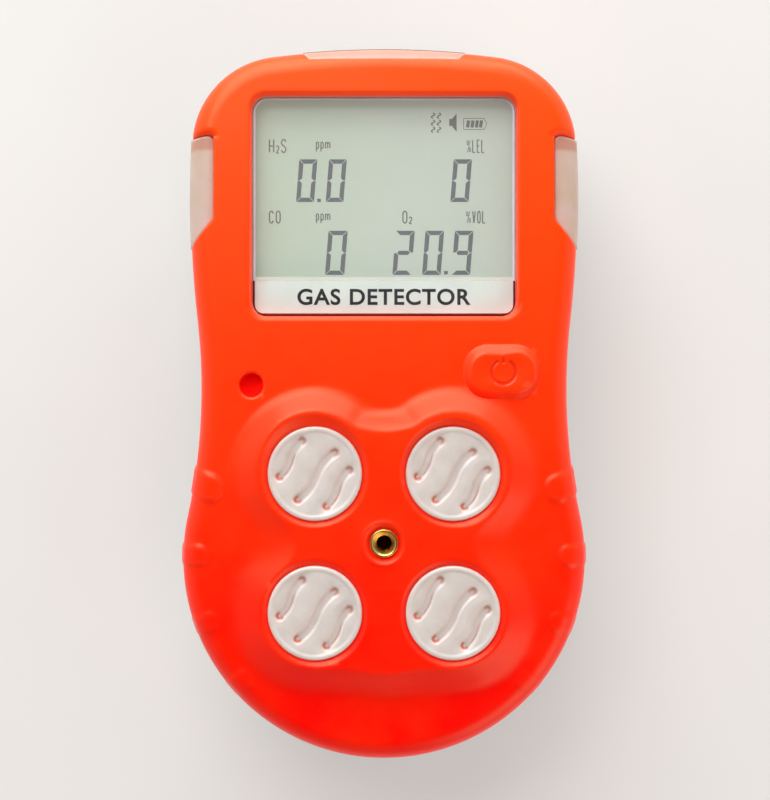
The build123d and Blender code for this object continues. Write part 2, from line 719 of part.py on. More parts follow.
def pin_points():
    """Where the three pins of every sensor stand."""
    return [
        (x + PIN_CIRCLE_R * cos(radians(a)), y + PIN_CIRCLE_R * sin(radians(a)))
        for x, y in SENSORS.values()
        for a in (90, 210, 330)
    ]


def make_sensor_contacts():
    """The gold pins under the sensors, their sockets, and the dust membranes above."""
    with BuildPart() as pins:
        rods(pin_points(), SENSOR_BOARD_TOP_Z + 0.05, SENSOR_TOP_Z - SENSOR_HEIGHT, PIN_R)
    save(pins.part, "sensor_pins")
    with BuildPart() as sockets:
        rods(pin_points(), SENSOR_BOARD_TOP_Z, SENSOR_BOARD_TOP_Z + 2.1, PIN_R + 0.7)
        rods(pin_points(), SENSOR_BOARD_TOP_Z, SENSOR_BOARD_TOP_Z + 2.1, PIN_R + 0.05, Mode.SUBTRACT)
    save(sockets.part, "sensor_sockets")
    with BuildPart() as membranes:
        rods(SENSORS.values(), SEAT_Z, GRILLE_Z, SEAT_R - 0.25)
    save(membranes.part, "membranes")


def make_cal_insert():
    """The brass insert between the sensors, threaded for a calibration cap."""
    centre = [(0, INSERT_Y)]
    with BuildPart() as insert:
        rods(centre, INSERT_TOP_Z - INSERT_LENGTH, INSERT_TOP_Z, INSERT_R)
        rods(centre, INSERT_TOP_Z - INSERT_LENGTH, INSERT_TOP_Z, INSERT_BORE_R, Mode.SUBTRACT)
        chamfer(insert.edges().filter_by(GeomType.CIRCLE).group_by(Axis.Z)[-1], 0.4)
    save(insert.part, "cal_insert")


# Boards and battery ----------------------------------------------------------------------------


def make_main_board():
    """The board behind the display, with what stands on its underside, and its screws."""
    with BuildPart() as board:
        prism(outline(-WALL - 0.6), BOARD_Z, BOARD_TOP_Z)
        block((-TOP_Y, -2 * TOP_Y, BOARD_Z), (TOP_Y, -0.8, BOARD_TOP_Z), Mode.SUBTRACT)
        rods(both_sides(CASE_SCREWS), BOARD_Z, BOARD_TOP_Z, CASE_BOSS_R + 0.5, Mode.SUBTRACT)
        rods(both_sides(BOARD_SCREWS), BOARD_Z, BOARD_TOP_Z, 0.95, Mode.SUBTRACT)
    save(board.part, "main_board")
    with BuildPart() as chips:
        for x, y, width, height, thick in MAIN_CHIPS:
            with Locations((x, y, BOARD_Z - thick)):
                Box(width, height, thick, align=BOTTOM)
    save(chips.part, "main_board_chips")
    with BuildPart() as screws:
        rods(both_sides(BOARD_SCREWS), BOARD_Z, BOARD_TOP_Z + BOARD_SCREW_LENGTH, BOARD_SCREW_R)
        rods(both_sides(BOARD_SCREWS), BOARD_Z - BOARD_HEAD_THICK, BOARD_Z, BOARD_HEAD_R)
    save(screws.part, "board_screws")


def make_sensor_board():
    """The board under the sensors, its chips, and the connector up to the main board."""
    with BuildPart() as board:
        block((-21, -43, SENSOR_BOARD_Z), (21, 6.5, SENSOR_BOARD_TOP_Z))
        block((-8, -55, SENSOR_BOARD_Z), (8, -43, SENSOR_BOARD_TOP_Z))
        block((-4.6, -56, SENSOR_BOARD_Z), (4.6, -50.2, SENSOR_BOARD_TOP_Z), Mode.SUBTRACT)
    save(board.part, "sensor_board")
    with BuildPart() as chips:
        for x, y, size, thick in SENSOR_CHIPS:
            with Locations((x, y, SENSOR_BOARD_TOP_Z)):
                Box(size, size, thick, align=BOTTOM)
    save(chips.part, "sensor_board_chips")
    with BuildPart() as connector:
        block((-9, 0.8, SENSOR_BOARD_TOP_Z), (9, 5.4, BOARD_Z))
    save(connector.part, "board_connector")


def make_battery():
    """The flat cell in the bulge, on its foam pad."""
    with BuildPart() as battery:
        low = (-BATTERY_HALF, BATTERY_Y[0], BATTERY_Z[0])
        block(low, (BATTERY_HALF, BATTERY_Y[1], BATTERY_Z[1]))
        fillet(battery.edges().filter_by(Axis.Z), 2.0)
    save(battery.part, "battery_pack")
    with BuildPart() as pad:
        block((-PAD_HALF, PAD_Y[0], BACK_WALL), (PAD_HALF, PAD_Y[1], BATTERY_Z[0]))
    save(pad.part, "battery_pad")


def make_vibration_motor():
    """The motor under the main board, its eccentric weight and the holder."""
    y, z = MOTOR_Y, MOTOR_Z
    with BuildPart() as motor:
        cross_rod(MOTOR_HALF, y, z, MOTOR_R, x=MOTOR_X)
        cross_rod(SHAFT_HALF, y, z, SHAFT_R, x=SHAFT_X)
    save(motor.part, "vibration_motor")
    with BuildPart() as weight:
        cross_rod(WEIGHT_HALF, y, z, WEIGHT_R, x=WEIGHT_X)
        low = (WEIGHT_X - 2.3, y - 4, z + WEIGHT_CUT_Z)
        block(low, (WEIGHT_X + 2.7, y + 4, z + 4), Mode.SUBTRACT)
        cross_rod(WEIGHT_HALF, y, z, SHAFT_R + 0.04, Mode.SUBTRACT, x=WEIGHT_X)
    save(weight.part, "vibration_weight")
    with BuildPart() as holder:
        low = (HOLDER_X[0], y - HOLDER_HALF, HOLDER_LOW_Z)
        block(low, (HOLDER_X[1], y + HOLDER_HALF, BOARD_Z))
        cross_rod(MOTOR_HALF + 0.5, y, z, MOTOR_R + 0.02, Mode.SUBTRACT, x=MOTOR_X)
    save(holder.part, "motor_holder")


def make_charge_socket():
    """The socket shell with its tongue, set into the sensor board."""
    with BuildPart() as socket:
        near, far = SOCKET_Y
        low, high = SOCKET_Z
        inner = SOCKET_HALF - SOCKET_WALL
        block((-SOCKET_HALF, near, low), (SOCKET_HALF, far, high))
        mouth = (-inner, near - 0.1, low + SOCKET_WALL)
        block(mouth, (inner, far - 1, high - SOCKET_WALL), Mode.SUBTRACT)
        block((-TONGUE_HALF, near + 1, low + 1.25), (TONGUE_HALF, far - 1, high - 1.25))
    save(socket.part, "charge_socket")


def make_port_flap():
    """The rubber cover of the charging port, hung from a pin above it."""
    y, z = FLAP_AXIS
    tray = body(0, BACK_Z, SPLIT_Z, bottom_r=BACK_EDGE_R)
    with BuildPart() as plate:
        block((-FLAP_HALF, -2 * TAIL_R, FLAP_LOW_Z), (FLAP_HALF, TAIL_Y, FLAP_HIGH_Z))
        add(tray, mode=Mode.INTERSECT)
        prism(outline(-FLAP_THICK), REST_Z, SPLIT_Z, Mode.SUBTRACT)
    with BuildPart() as flap:
        add(plate.part)
        neck = (-FLAP_BARREL_HALF, y - FLAP_BARREL_R, FLAP_HIGH_Z - 0.2)
        block(neck, (FLAP_BARREL_HALF, y + 0.3, z))
        tongue = (-FLAP_TONGUE_HALF, y - 0.1, PORT_LOW_Z + 0.55)
        block(tongue, (FLAP_TONGUE_HALF, y + 1.5, PORT_HIGH_Z - 0.65))
        cross_rod(FLAP_BARREL_HALF, y, z, FLAP_BARREL_R)
        cross_rod(FLAP_BARREL_HALF + 1, y, z, FLAP_PIN_R + 0.05, Mode.SUBTRACT)
    save(flap.part, "port_flap")
    with BuildPart() as pin:
        cross_rod(FLAP_PIN_HALF, y, z, FLAP_PIN_R)
    save(pin.part, "flap_pin")


# Fasteners and back -----------------------------------------------------------------------------


def make_case_fasteners():
    """The six case screws with their star recesses, and the inserts that they turn in."""
    points = both_sides(CASE_SCREWS)
    with BuildPart() as screws:
        head_low, head_high = SCREW_HEAD_Z
        rods(points, head_low, head_high, SCREW_HEAD_R)
        rods(points, head_high, SPLIT_Z + SCREW_INSERT_LENGTH - 0.5, SCREW_R)
        with BuildSketch(Plane.XY.offset(head_low)):
            with Locations(*points):
                RegularPolygon(STAR_R, 6)
        extrude(amount=STAR_R, mode=Mode.SUBTRACT)
    save(screws.part, "case_screws")
    with BuildPart() as inserts:
        top = SPLIT_Z + SCREW_INSERT_LENGTH
        rods(points, SPLIT_Z, top, SCREW_INSERT_R)
        rods(points, SPLIT_Z, top, SCREW_R + 0.05, Mode.SUBTRACT)
    save(inserts.part, "case_inserts")


def make_rear_label():
    """A plain plate in the recess of the bulge."""
    with BuildPart() as label:
        half = PLATE_HALF - PLATE_GAP
        low = (-half, PLATE_Y[0] + PLATE_GAP, REST_Z + 0.1)
        block(low, (half, PLATE_Y[1] - PLATE_GAP, PLATE_DEPTH))
        fillet(label.edges().filter_by(Axis.Z), 1.0)
    save(label.part, "rear_label")


def make_clip_base():
    """The clip's plate on the back, with an ear each side for the pin, and its screws."""
    y, z = CLIP_PIVOT_Y, CLIP_PIVOT_Z
    ear_x = CLIP_BASE_HALF - 1
    with BuildPart() as base:
        block((-CLIP_BASE_HALF, 14, CLIP_BASE_Z), (CLIP_BASE_HALF, 50, BACK_Z))
        fillet(base.edges().filter_by(Axis.Z), 2.0)
        for x in (-CLIP_BASE_HALF, ear_x):
            block((x, y - CLIP_EAR_R, z), (x + 1, y + CLIP_EAR_R, CLIP_BASE_Z))
            cross_rod(0.5, y, z, CLIP_EAR_R, x=x + 0.5)
        cross_rod(2 * CLIP_BASE_HALF, y, z, CLIP_PIN_R + 0.01, Mode.SUBTRACT)
        rods(CLIP_SCREWS, CLIP_BASE_Z, BACK_Z, CLIP_SINK_R - 1, Mode.SUBTRACT)
        with Locations([(x, sy, CLIP_BASE_Z + 0.5) for x, sy in CLIP_SCREWS]):
            Cone(CLIP_SINK_R, CLIP_SINK_R - 1, 1.0, mode=Mode.SUBTRACT)
    save(base.part, "clip_base")
    with BuildPart() as screws:
        rods(CLIP_SCREWS, CLIP_BASE_Z + 0.95, 11.8, CLIP_SCREW_R)
        with Locations([(x, sy, CLIP_BASE_Z + 0.5) for x, sy in CLIP_SCREWS]):
            Cone(CLIP_SCREW_R + 1, CLIP_SCREW_R, 1.0)
    save(screws.part, "clip_screws")


def make_clip_arm():
    """The clip's spring-loaded arm: a flat lever, a toothed jaw and an ear each side."""
    y, z = CLIP_PIVOT_Y, CLIP_PIVOT_Z
    half = CLIP_ARM_HALF
    with BuildPart() as arm:
        block((-half, CLIP_JAW_Y, REST_Z), (half, CLIP_THUMB_Y, CLIP_ARM_THICK))
        fillet(arm.edges().filter_by(Axis.Z).group_by(Axis.Y)[-1], 4.0)
        block((-half, CLIP_JAW_Y, REST_Z), (half, CLIP_JAW_Y + CLIP_ARM_THICK, CLIP_BASE_Z - 0.3))
        for x in (-half, half - CLIP_ARM_THICK):
            block((x, y - CLIP_EAR_R, REST_Z), (x + CLIP_ARM_THICK, y + CLIP_EAR_R, z))
            cross_rod(CLIP_ARM_THICK / 2, y, z, CLIP_EAR_R, x=x + CLIP_ARM_THICK / 2)
        # teeth along the jaw's edge
        with BuildSketch(Plane.XZ.offset(-CLIP_JAW_Y - 2)):
            with Locations([(-half + 2 + 2 * i, CLIP_BASE_Z - 0.3) for i in range(7)]):
                RegularPolygon(0.9, 3, rotation=-90)
        extrude(amount=3, mode=Mode.SUBTRACT)
        cross_rod(half + 1, y, z, CLIP_PIN_R + 0.05, Mode.SUBTRACT)
        rods(CLIP_SCREWS, REST_Z, CLIP_ARM_THICK, CLIP_BOSS_R, Mode.SUBTRACT)
    save(arm.part, "clip_arm")


def make_clip_pin_and_spring():
    """The pin with its two heads, and the torsion spring wound on it."""
    y, z = CLIP_PIVOT_Y, CLIP_PIVOT_Z
    head_x = CLIP_BASE_HALF + 0.4
    with BuildPart() as pin:
        cross_rod(CLIP_BASE_HALF, y, z, CLIP_PIN_R)
        for x in (-head_x, head_x):
            cross_rod(0.4, y, z, CLIP_HEAD_R, x=x)
    save(pin.part, "clip_pin")
    with BuildPart() as spring:
        near = SPRING_HALF - SPRING_WIRE
        cross_rod(SPRING_HALF, y, z, SPRING_R)
        block((near, y, z + SPRING_BORE_R), (SPRING_HALF, y + SPRING_LEG, z + SPRING_R))
        block((-SPRING_HALF, y, z - SPRING_R), (-near, y + SPRING_LEG, z - SPRING_BORE_R))
        cross_rod(SPRING_HALF + 1, y, z, SPRING_BORE_R, Mode.SUBTRACT)
    save(spring.part, "clip_spring")


def main():
    """Makes every piece."""
    make_front_shell()
    make_rear_cover()
    make_housing_seal()
    make_alarm_windows()
    make_display()
    make_power_button()
    make_buzzer()
    for name, centre in SENSORS.items():
        make_grille(name, centre)
        make_sensor(name, centre)
    make_sensor_contacts()
    make_cal_insert()
    make_main_board()
    make_sensor_board()
    make_battery()
    make_vibration_motor()
    make_charge_socket()
    make_port_flap()
    make_case_fasteners()
    make_rear_label()
    make_clip_base()
    make_clip_arm()
    make_clip_pin_and_spring()


main()
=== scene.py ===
"""Looks of the portable gas detector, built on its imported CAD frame.

Shapes are worked out in millimetres in the CAD's frame, and stored in metres.
"""
import json
import math

import bpy
import numpy as np
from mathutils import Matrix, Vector, kdtree
from mathutils.geometry import delaunay_2d_cdt


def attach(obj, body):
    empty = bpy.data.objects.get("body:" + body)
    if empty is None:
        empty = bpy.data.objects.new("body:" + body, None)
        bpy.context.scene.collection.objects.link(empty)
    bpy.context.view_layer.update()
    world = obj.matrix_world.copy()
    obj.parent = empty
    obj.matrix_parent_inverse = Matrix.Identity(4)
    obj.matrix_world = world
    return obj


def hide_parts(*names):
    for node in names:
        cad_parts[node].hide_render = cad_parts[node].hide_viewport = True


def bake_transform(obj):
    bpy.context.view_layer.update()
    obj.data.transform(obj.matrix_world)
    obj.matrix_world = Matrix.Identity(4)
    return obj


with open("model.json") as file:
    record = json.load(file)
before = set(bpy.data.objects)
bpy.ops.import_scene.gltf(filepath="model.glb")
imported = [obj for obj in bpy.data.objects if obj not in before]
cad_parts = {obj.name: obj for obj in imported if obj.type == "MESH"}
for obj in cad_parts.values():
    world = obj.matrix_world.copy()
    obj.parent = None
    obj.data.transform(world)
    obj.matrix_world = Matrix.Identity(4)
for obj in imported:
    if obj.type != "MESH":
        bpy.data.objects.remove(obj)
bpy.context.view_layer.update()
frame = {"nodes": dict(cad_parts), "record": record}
NODES = frame["nodes"]
MM = 0.001

# Outline, as in the CAD
TOP_Y, TOP_R, CORNER_R = 60.0, 150.0, 15.5
SHOULDER_HALF, SHOULDER_Y = 32.75, 35.0
WAIST_HALF, WAIST_Y = 30.9, 2.5
TAIL_R, TAIL_Y = 34.0, -26.2

# Heights
SPLIT_Z, CEILING_Z, FACE_Z, PLATEAU_Z = 16.0, 28.6, 31.0, 34.0
EDGE_R = 3.6
CROWN = 1.2
LCD_TOP_Z = 26.2
LENS_TOP_Z = 28.2
GRILLE_LOW_Z, GRILLE_TOP_Z = 32.15, 33.15
SIDE_SILL_Z, TOP_SILL_Z = 19.0, 21.0

# Rounded rectangles: centre, half sizes and corner radius
WINDOW_FACE = ((0.0, 33.35), (22.45, 18.8), 2.5)
WINDOW_LENS = ((0.0, 33.2), (22.2, 18.5), 2.5)
PAD = ((19.65, 5.35), (6.35, 4.55), 4.1)
# The half sizes and radius that set how many points each of the window's loops has
WINDOW_COUNTS = (22.5, 19.0, 2.5)

# Openings
PAD_TOP_Z, PAD_GAP = 32.1, 0.03
PORT, PORT_R = (-22.2, 3.1), 2.0
INSERT, INSERT_R = (0.0, -23.2), 2.45
NOTCH_X, NOTCH_HIGH_Y, NOTCH_FALL, NOTCH_LOW_Y, NOTCH_END = 28.5, 45.3, 0.16, 30.9, (32.4, 26.4)
TOP_NOTCH_Y, TOP_NOTCH_HALF, TOP_NOTCH_MOUTH = 57.9, 12.7, 14.2
# How wide and deep the shell's edge round a notch is cut, at its high end and elsewhere
SCOOP, NOTCH_ROUND = (1.25, 1.35), (0.3, 0.2)
SENSORS = {
    "h2s": (-11.45, -11.65),
    "lel": (11.45, -11.65),
    "co": (-11.45, -34.75),
    "o2": (11.45, -34.75),
}
SEAT_R, GRILLE_R = 7.9, 7.86

# Each grip rib: its direction from the tail's centre, half width and height
RIBS = ((22.5, 2.3, 0.27), (1.5, 1.8, 0.22), (-19.5, 1.7, 0.15), (-40.5, 1.7, 0.13))
RIB_START = 29.2


# Plane geometry


def arc(centre, radius, start, end, step=0.4, hollow=False):
    """Points along an arc and the normals out of the body there."""
    count = max(2, math.ceil(abs(math.radians(end - start)) * radius / step))
    angles = np.radians(np.linspace(start, end, count + 1))
    out = np.stack([np.cos(angles), np.sin(angles)], 1)
    return np.array(centre) + radius * out, -out if hollow else out


def heading(a, b):
    """The direction from a to b, in degrees."""
    return math.degrees(math.atan2(b[1] - a[1], b[0] - a[0]))


def circles_meet(first, first_r, second, second_r):
    """The right-hand crossing of two circles."""
    gap = np.subtract(second, first)
    apart = math.hypot(*gap)
    along = (apart**2 + first_r**2 - second_r**2) / (2 * apart)
    across = math.sqrt(first_r**2 - along**2)
    turned = np.array([-gap[1], gap[0]])
    return max(tuple(first + (along * gap + side * across * turned) / apart) for side in (-1, 1))


def base_outline():
    """The body's outline, anticlockwise from the tail's end, and its normals."""
    rise, step, lift = WAIST_Y - TAIL_Y, SHOULDER_HALF - WAIST_HALF, SHOULDER_Y - WAIST_Y
    waist_r = (WAIST_HALF**2 + rise**2 - TAIL_R**2) / (2 * (TAIL_R - WAIST_HALF))
    shoulder_r = (step**2 + lift**2) / (2 * step) - waist_r
    top, tail = (0.0, TOP_Y - TOP_R), (0.0, TAIL_Y)
    shoulder = (SHOULDER_HALF - shoulder_r, SHOULDER_Y)
    waist = (WAIST_HALF + waist_r, WAIST_Y)
    corner = circles_meet(top, TOP_R - CORNER_R, shoulder, shoulder_r - CORNER_R)
    arcs = [
        arc(tail, TAIL_R, -90, heading(tail, waist)),
        arc(waist, waist_r, heading(waist, tail) % 360, heading(waist, shoulder) % 360, hollow=True),
        arc(shoulder, shoulder_r, heading(shoulder, waist), heading(shoulder, corner)),
        arc(corner, CORNER_R, heading(shoulder, corner), heading(top, corner)),
        arc(top, TOP_R, heading(top, corner), 90),
    ]
    halves = [np.concatenate([a[k][:-1] for a in arcs] + [arcs[-1][k][-1:]]) for k in (0, 1)]
    return [np.concatenate([half, half[-2:0:-1] * (-1.0, 1.0)]) for half in halves]


class Nearest:
    """Finds, for plane points, the nearest of a set and how deep they lie behind its normals."""

    def __init__(self, points, normals):
        self.points, self.normals = points, normals
        self.tree = kdtree.KDTree(len(points))
        for i, (x, y) in enumerate(points):
            self.tree.insert((x, y, 0), i)
        self.tree.balance()

    def depth(self, query):
        """Depth behind the surface, the index of the nearest point and its distance."""
        hits = [self.tree.find((x, y, 0)) for x, y in query]
        index, away = (np.array([hit[k] for hit in hits]) for k in (1, 2))
        return ((self.points[index] - query) * self.normals[index]).sum(1), index, away


def inside(loop, query):
    """Which of the points lie inside a closed loop."""
    found = []
    a, b = loop, np.roll(loop, -1, axis=0)
    with np.errstate(divide="ignore", invalid="ignore"):
        for part in np.array_split(query, len(query) // 4000 + 1):
            x, y = part[:, :1], part[:, 1:]
            spans = (a[:, 1] > y) != (b[:, 1] > y)
            cross = a[:, 0] + (y - a[:, 1]) * (b[:, 0] - a[:, 0]) / (b[:, 1] - a[:, 1])
            found.append((spans & (x < cross)).sum(1) % 2 == 1)
    return np.concatenate(found)


def rounded_path(corners, radius, step=0.3):
    """An open path through corners, rounded at the inner ones, as points in steps."""
    corners = [np.array(corner, float) for corner in corners]
    dense = [corners[0]]
    for before, corner, after in zip(corners, corners[1:], corners[2:]):
        into = (before - corner) / np.linalg.norm(before - corner)
        away = (after - corner) / np.linalg.norm(after - corner)
        back = radius / math.tan(math.acos(float(into @ away)) / 2)
        start, end = corner + into * back, corner + away * back
        dense += [(1 - t) ** 2 * start + 2 * t * (1 - t) * corner + t**2 * end for t in np.linspace(0, 1, 9)]
    dense = np.array(dense + [corners[-1]])
    lengths = np.concatenate([[0], np.cumsum(np.linalg.norm(np.diff(dense, axis=0), axis=1))])
    at = np.linspace(0, lengths[-1], max(3, round(lengths[-1] / step)) + 1)
    return np.stack([np.interp(at, lengths, dense[:, k]) for k in (0, 1)], 1)


def path_normals(path):
    """Normals to the right of a path's direction."""
    along = np.gradient(path, axis=0)
    along /= np.linalg.norm(along, axis=1)[:, None]
    return np.stack([along[:, 1], -along[:, 0]], 1)


def circle(centre, radius, count):
    angles = np.linspace(0, 2 * math.pi, count, endpoint=False)
    return np.stack([centre[0] + radius * np.cos(angles), centre[1] + radius * np.sin(angles)], 1)


def round_rect(shape, grow=0.0, step=0.4, like=None):
    """A rounded rectangle grown on every side, anticlockwise. like sets the number of points."""
    centre, half, radius = shape
    half, radius = (half[0] + grow, half[1] + grow), radius + grow
    like = like or (*half, radius)
    bends = []
    for turn, (sx, sy) in enumerate(((1, -1), (1, 1), (-1, 1), (-1, -1))):
        corner = (centre[0] + sx * (half[0] - radius), centre[1] + sy * (half[1] - radius))
        bends.append(arc(corner, radius, turn * 90 - 90, turn * 90, step=radius * math.pi / 2 / 8)[0])
    made = []
    for turn, bend in enumerate(bends):
        count = max(1, round(2 * (like[1 - turn % 2] - like[2]) / step))
        following = bends[(turn + 1) % 4][0]
        made += [bend, *(bend[-1:] * (1 - t) + following * t for t in np.arange(1, count) / count)]
    return np.concatenate(made)


def rect_distance(query, shape):
    """Distance outside a rounded rectangle, negative inside."""
    centre, half, radius = shape
    q = np.abs(query - np.array(centre)) - np.array(half) + radius
    out = np.linalg.norm(np.maximum(q, 0), axis=1)
    return out + np.minimum(q.max(1), 0) - radius


def polar(query, centre):
    """Distance and direction in degrees from a centre."""
    offset = query - np.array(centre)
    return np.linalg.norm(offset, axis=1), np.degrees(np.arctan2(offset[:, 1], offset[:, 0]))


def hex_grid(low, high, step):
    """Points of a triangular grid over a box."""
    rows = []
    for i, y in enumerate(np.arange(low[1], high[1], step * 0.866)):
        x = np.arange(low[0] + (i % 2) * step / 2, high[0], step)
        rows.append(np.stack([x, np.full(len(x), y)], 1))
    return np.concatenate(rows)


def smooth(t):
    t = np.clip(t, 0, 1)
    return t * t * (3 - 2 * t)


def blend_min(a, b, k):
    """The smaller of two fields, rounded where they meet."""
    h = np.clip(0.5 + 0.5 * (b - a) / k, 0, 1)
    return b + (a - b) * h - k * h * (1 - h)


def edge_drop(distance, width, depth):
    """How far a rounded edge falls at a distance from it."""
    t = np.clip(1 - distance / width, 0, 1)
    return depth * (1 - np.sqrt(1 - t * t))


# Alarm window notches

OUTLINE, OUTLINE_NORMALS = base_outline()
RIM = Nearest(OUTLINE, OUTLINE_NORMALS)


def in_notch(query):
    """Which of the points lie in one of the three alarm window notches."""
    x, y = np.abs(query[:, 0]), query[:, 1]
    slope = (NOTCH_END[1] - NOTCH_LOW_Y) / (NOTCH_END[0] - NOTCH_X)
    high = NOTCH_HIGH_Y - NOTCH_FALL * (x - NOTCH_X)
    side = (x > NOTCH_X) & (y < high) & (y > NOTCH_LOW_Y + slope * (x - NOTCH_X))
    widen = (TOP_NOTCH_MOUTH - TOP_NOTCH_HALF) / (TOP_Y - TOP_NOTCH_Y)
    top = (y > TOP_NOTCH_Y) & (x < TOP_NOTCH_HALF + widen * (y - TOP_NOTCH_Y))
    return side | top


def crossing(outer, inner):
    """Where a step from a point outside the notches to one inside enters them."""
    for _ in range(24):
        middle = (outer + inner) / 2
        if in_notch(middle[None])[0]:
            inner = middle
        else:
            outer = middle
    return (outer + inner) / 2


def at_top(path):
    """Whether a notch's path is the one at the display's end."""
    return abs(path[0][1] - TOP_Y) < 2


def notched():
    """The outline with the notches cut in: its points, its normals, and for each notch, from the right one on,
    its path, the path's normals and how wide and deep the edge is cut there."""
    hit = in_notch(OUTLINE)
    made, facing, runs = [], [], []
    for here in range(len(OUTLINE)):
        after = (here + 1) % len(OUTLINE)
        if not hit[here]:
            made.append(OUTLINE[here])
            facing.append(OUTLINE_NORMALS[here])
            if hit[after]:
                entry = crossing(OUTLINE[here], OUTLINE[after])
        elif not hit[after]:
            leave = crossing(OUTLINE[after], OUTLINE[here])
            if at_top([entry]):
                path = [entry, (TOP_NOTCH_HALF, TOP_NOTCH_Y), (-TOP_NOTCH_HALF, TOP_NOTCH_Y), leave]
                path = rounded_path(path, 0.3)
            else:
                side = 1 if entry[0] > 0 else -1
                floor = [(NOTCH_X * side, NOTCH_LOW_Y), (NOTCH_X * side, NOTCH_HIGH_Y)]
                path = rounded_path([entry, *floor[::side], leave], 1.4)
            across = path_normals(path)
            runs.append((path, across, np.where(across[:, 1:] < -0.5, SCOOP, NOTCH_ROUND)))
            made.extend(path)
            facing.extend(across)
    return np.array(made), np.array(facing), runs


SKIN_EDGE, SKIN_FACING, NOTCHES = notched()


def lost_edge(path, proud=0.0):
    """The stretch of the outline, or of one standing proud of it, that a notch takes, and its direction."""
    points = OUTLINE + OUTLINE_NORMALS * proud
    if at_top(path):
        beside = points[:, 1] > 55
    else:
        beside = (points[:, 1] < 50) & (points[:, 0] * path[0][0] > 0)
    chosen = points[in_notch(points) & beside]
    along = (path[-1] - path[0]) / np.linalg.norm(path[-1] - path[0])
    return chosen[np.argsort(chosen @ along)], along


# Meshes


def linked(name, data):
    """A new object in the scene."""
    made = bpy.data.objects.new(name, data)
    bpy.context.scene.collection.objects.link(made)
    return made


def add_piece(name, verts, faces, finish, body="case", slot=None, stands_for=(), sharp=38, tint=None):
    """A mesh piece in millimetres, riding on a body. Its slot argument is not used."""
    mesh = bpy.data.meshes.new(name)
    mesh.from_pydata([tuple(v) for v in np.asarray(verts, float) * MM], [], [[int(i) for i in f] for f in faces])
    mesh.update()
    mesh.polygons.foreach_set("use_smooth", [True] * len(mesh.polygons))
    mesh.set_sharp_from_angle(angle=math.radians(sharp))
    if tint is not None:
        mesh.attributes.new("tint", "FLOAT", "POINT").data.foreach_set("value", np.asarray(tint, np.float32))
    piece = linked(name, mesh)
    mesh.materials.append(FINISHES[finish])
    if body:
        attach(piece, body)
    slot or finish
    if stands_for:
        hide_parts(*stands_for)
    return piece


def at_height(points, z):
    return np.column_stack([points, np.full(len(points), z)])


def bands(rows, count, wrap=False):
    """Quads that join rows of points, each row closed, and the last row to the first if they wrap."""
    made = []
    for k in range(rows if wrap else rows - 1):
        low, high = k * count, (k + 1) % rows * count
        for i in range(count):
            j = (i + 1) % count
            made.append((low + i, low + j, high + j, high + i))
    return made


def triangulate(loops, inner):
    """Triangles over a region: its points, triangles, and each loop's places among the points."""
    edges, spans, first = [], [], 0
    for loop in loops:
        count = len(loop)
        edges.extend((first + i, first + (i + 1) % count) for i in range(count))
        spans.append(range(first, first + count))
        first += count
    given = [Vector(v) for v in np.concatenate([*loops, inner]).tolist()]
    made, _, faces, origin, _, _ = delaunay_2d_cdt(given, edges, [], 0, 1e-6, True)
    made, faces = np.array([tuple(v) for v in made]), np.array(list(faces))
    place = {j: i for i, ids in enumerate(origin) for j in ids}
    corners = made[faces]
    centres = corners.mean(1)
    one, two = corners[:, 1] - corners[:, 0], corners[:, 2] - corners[:, 0]
    keep = inside(loops[0], centres) & (np.abs(one[:, 0] * two[:, 1] - one[:, 1] * two[:, 0]) > 1e-5)
    for hole in loops[1:]:
        keep &= ~inside(hole, centres)
    return made, faces[keep], [[place[i] for i in span] for span in spans]


def keep_points(points, loops, gap):
    """The points that lie in the region, at least a gap from its edges."""
    kept = points[inside(loops[0], points)]
    for hole in loops[1:]:
        kept = kept[~inside(hole, kept)]
    for loop in loops:
        normals = path_normals(np.concatenate([loop[-1:], loop, loop[:1]]))[1:-1]
        depth, _, away = Nearest(loop, normals).depth(kept)
        kept = kept[(depth > gap) | (away > 0.6)]
    return kept


def thin(points, spacing):
    """The points without those that crowd an earlier one."""
    kept = {}
    for x, y in points:
        kept.setdefault((round(x / spacing), round(y / spacing)), (x, y))
    return np.array(list(kept.values()))


def sheet_solid(loops, rings, gap, spacing, top, bottom, skirts=((),)):
    """A closed solid between two height fields, or above a flat bottom. Holes run clockwise.

    The rings give its inner points, a gap off the loops and a spacing apart. skirts gives for each loop the
    levels between top and bottom, as heights or 3-D points.
    """
    flat, faces, rims = triangulate(loops, thin(keep_points(np.concatenate(rings), loops, gap), spacing))
    count = len(flat)
    low = bottom(flat) if callable(bottom) else np.full(count, bottom)
    verts = [np.column_stack([flat, top(flat)]), np.column_stack([flat, low])]
    made = [tuple(f) for f in faces]
    made += [tuple(count + i for i in reversed(f)) for f in faces]
    total = 2 * count
    for rim, steps in zip(rims, skirts):
        levels = [rim]
        for step in steps:
            verts.append(at_height(flat[rim], step) if np.isscalar(step) else step)
            levels.append(range(total, total + len(rim)))
            total += len(rim)
        levels.append([count + i for i in rim])
        levels = np.concatenate([list(row) for row in levels])
        made += [tuple(levels[i] for i in quad[::-1]) for quad in bands(len(steps) + 2, len(rim))]
    return np.concatenate(verts), made


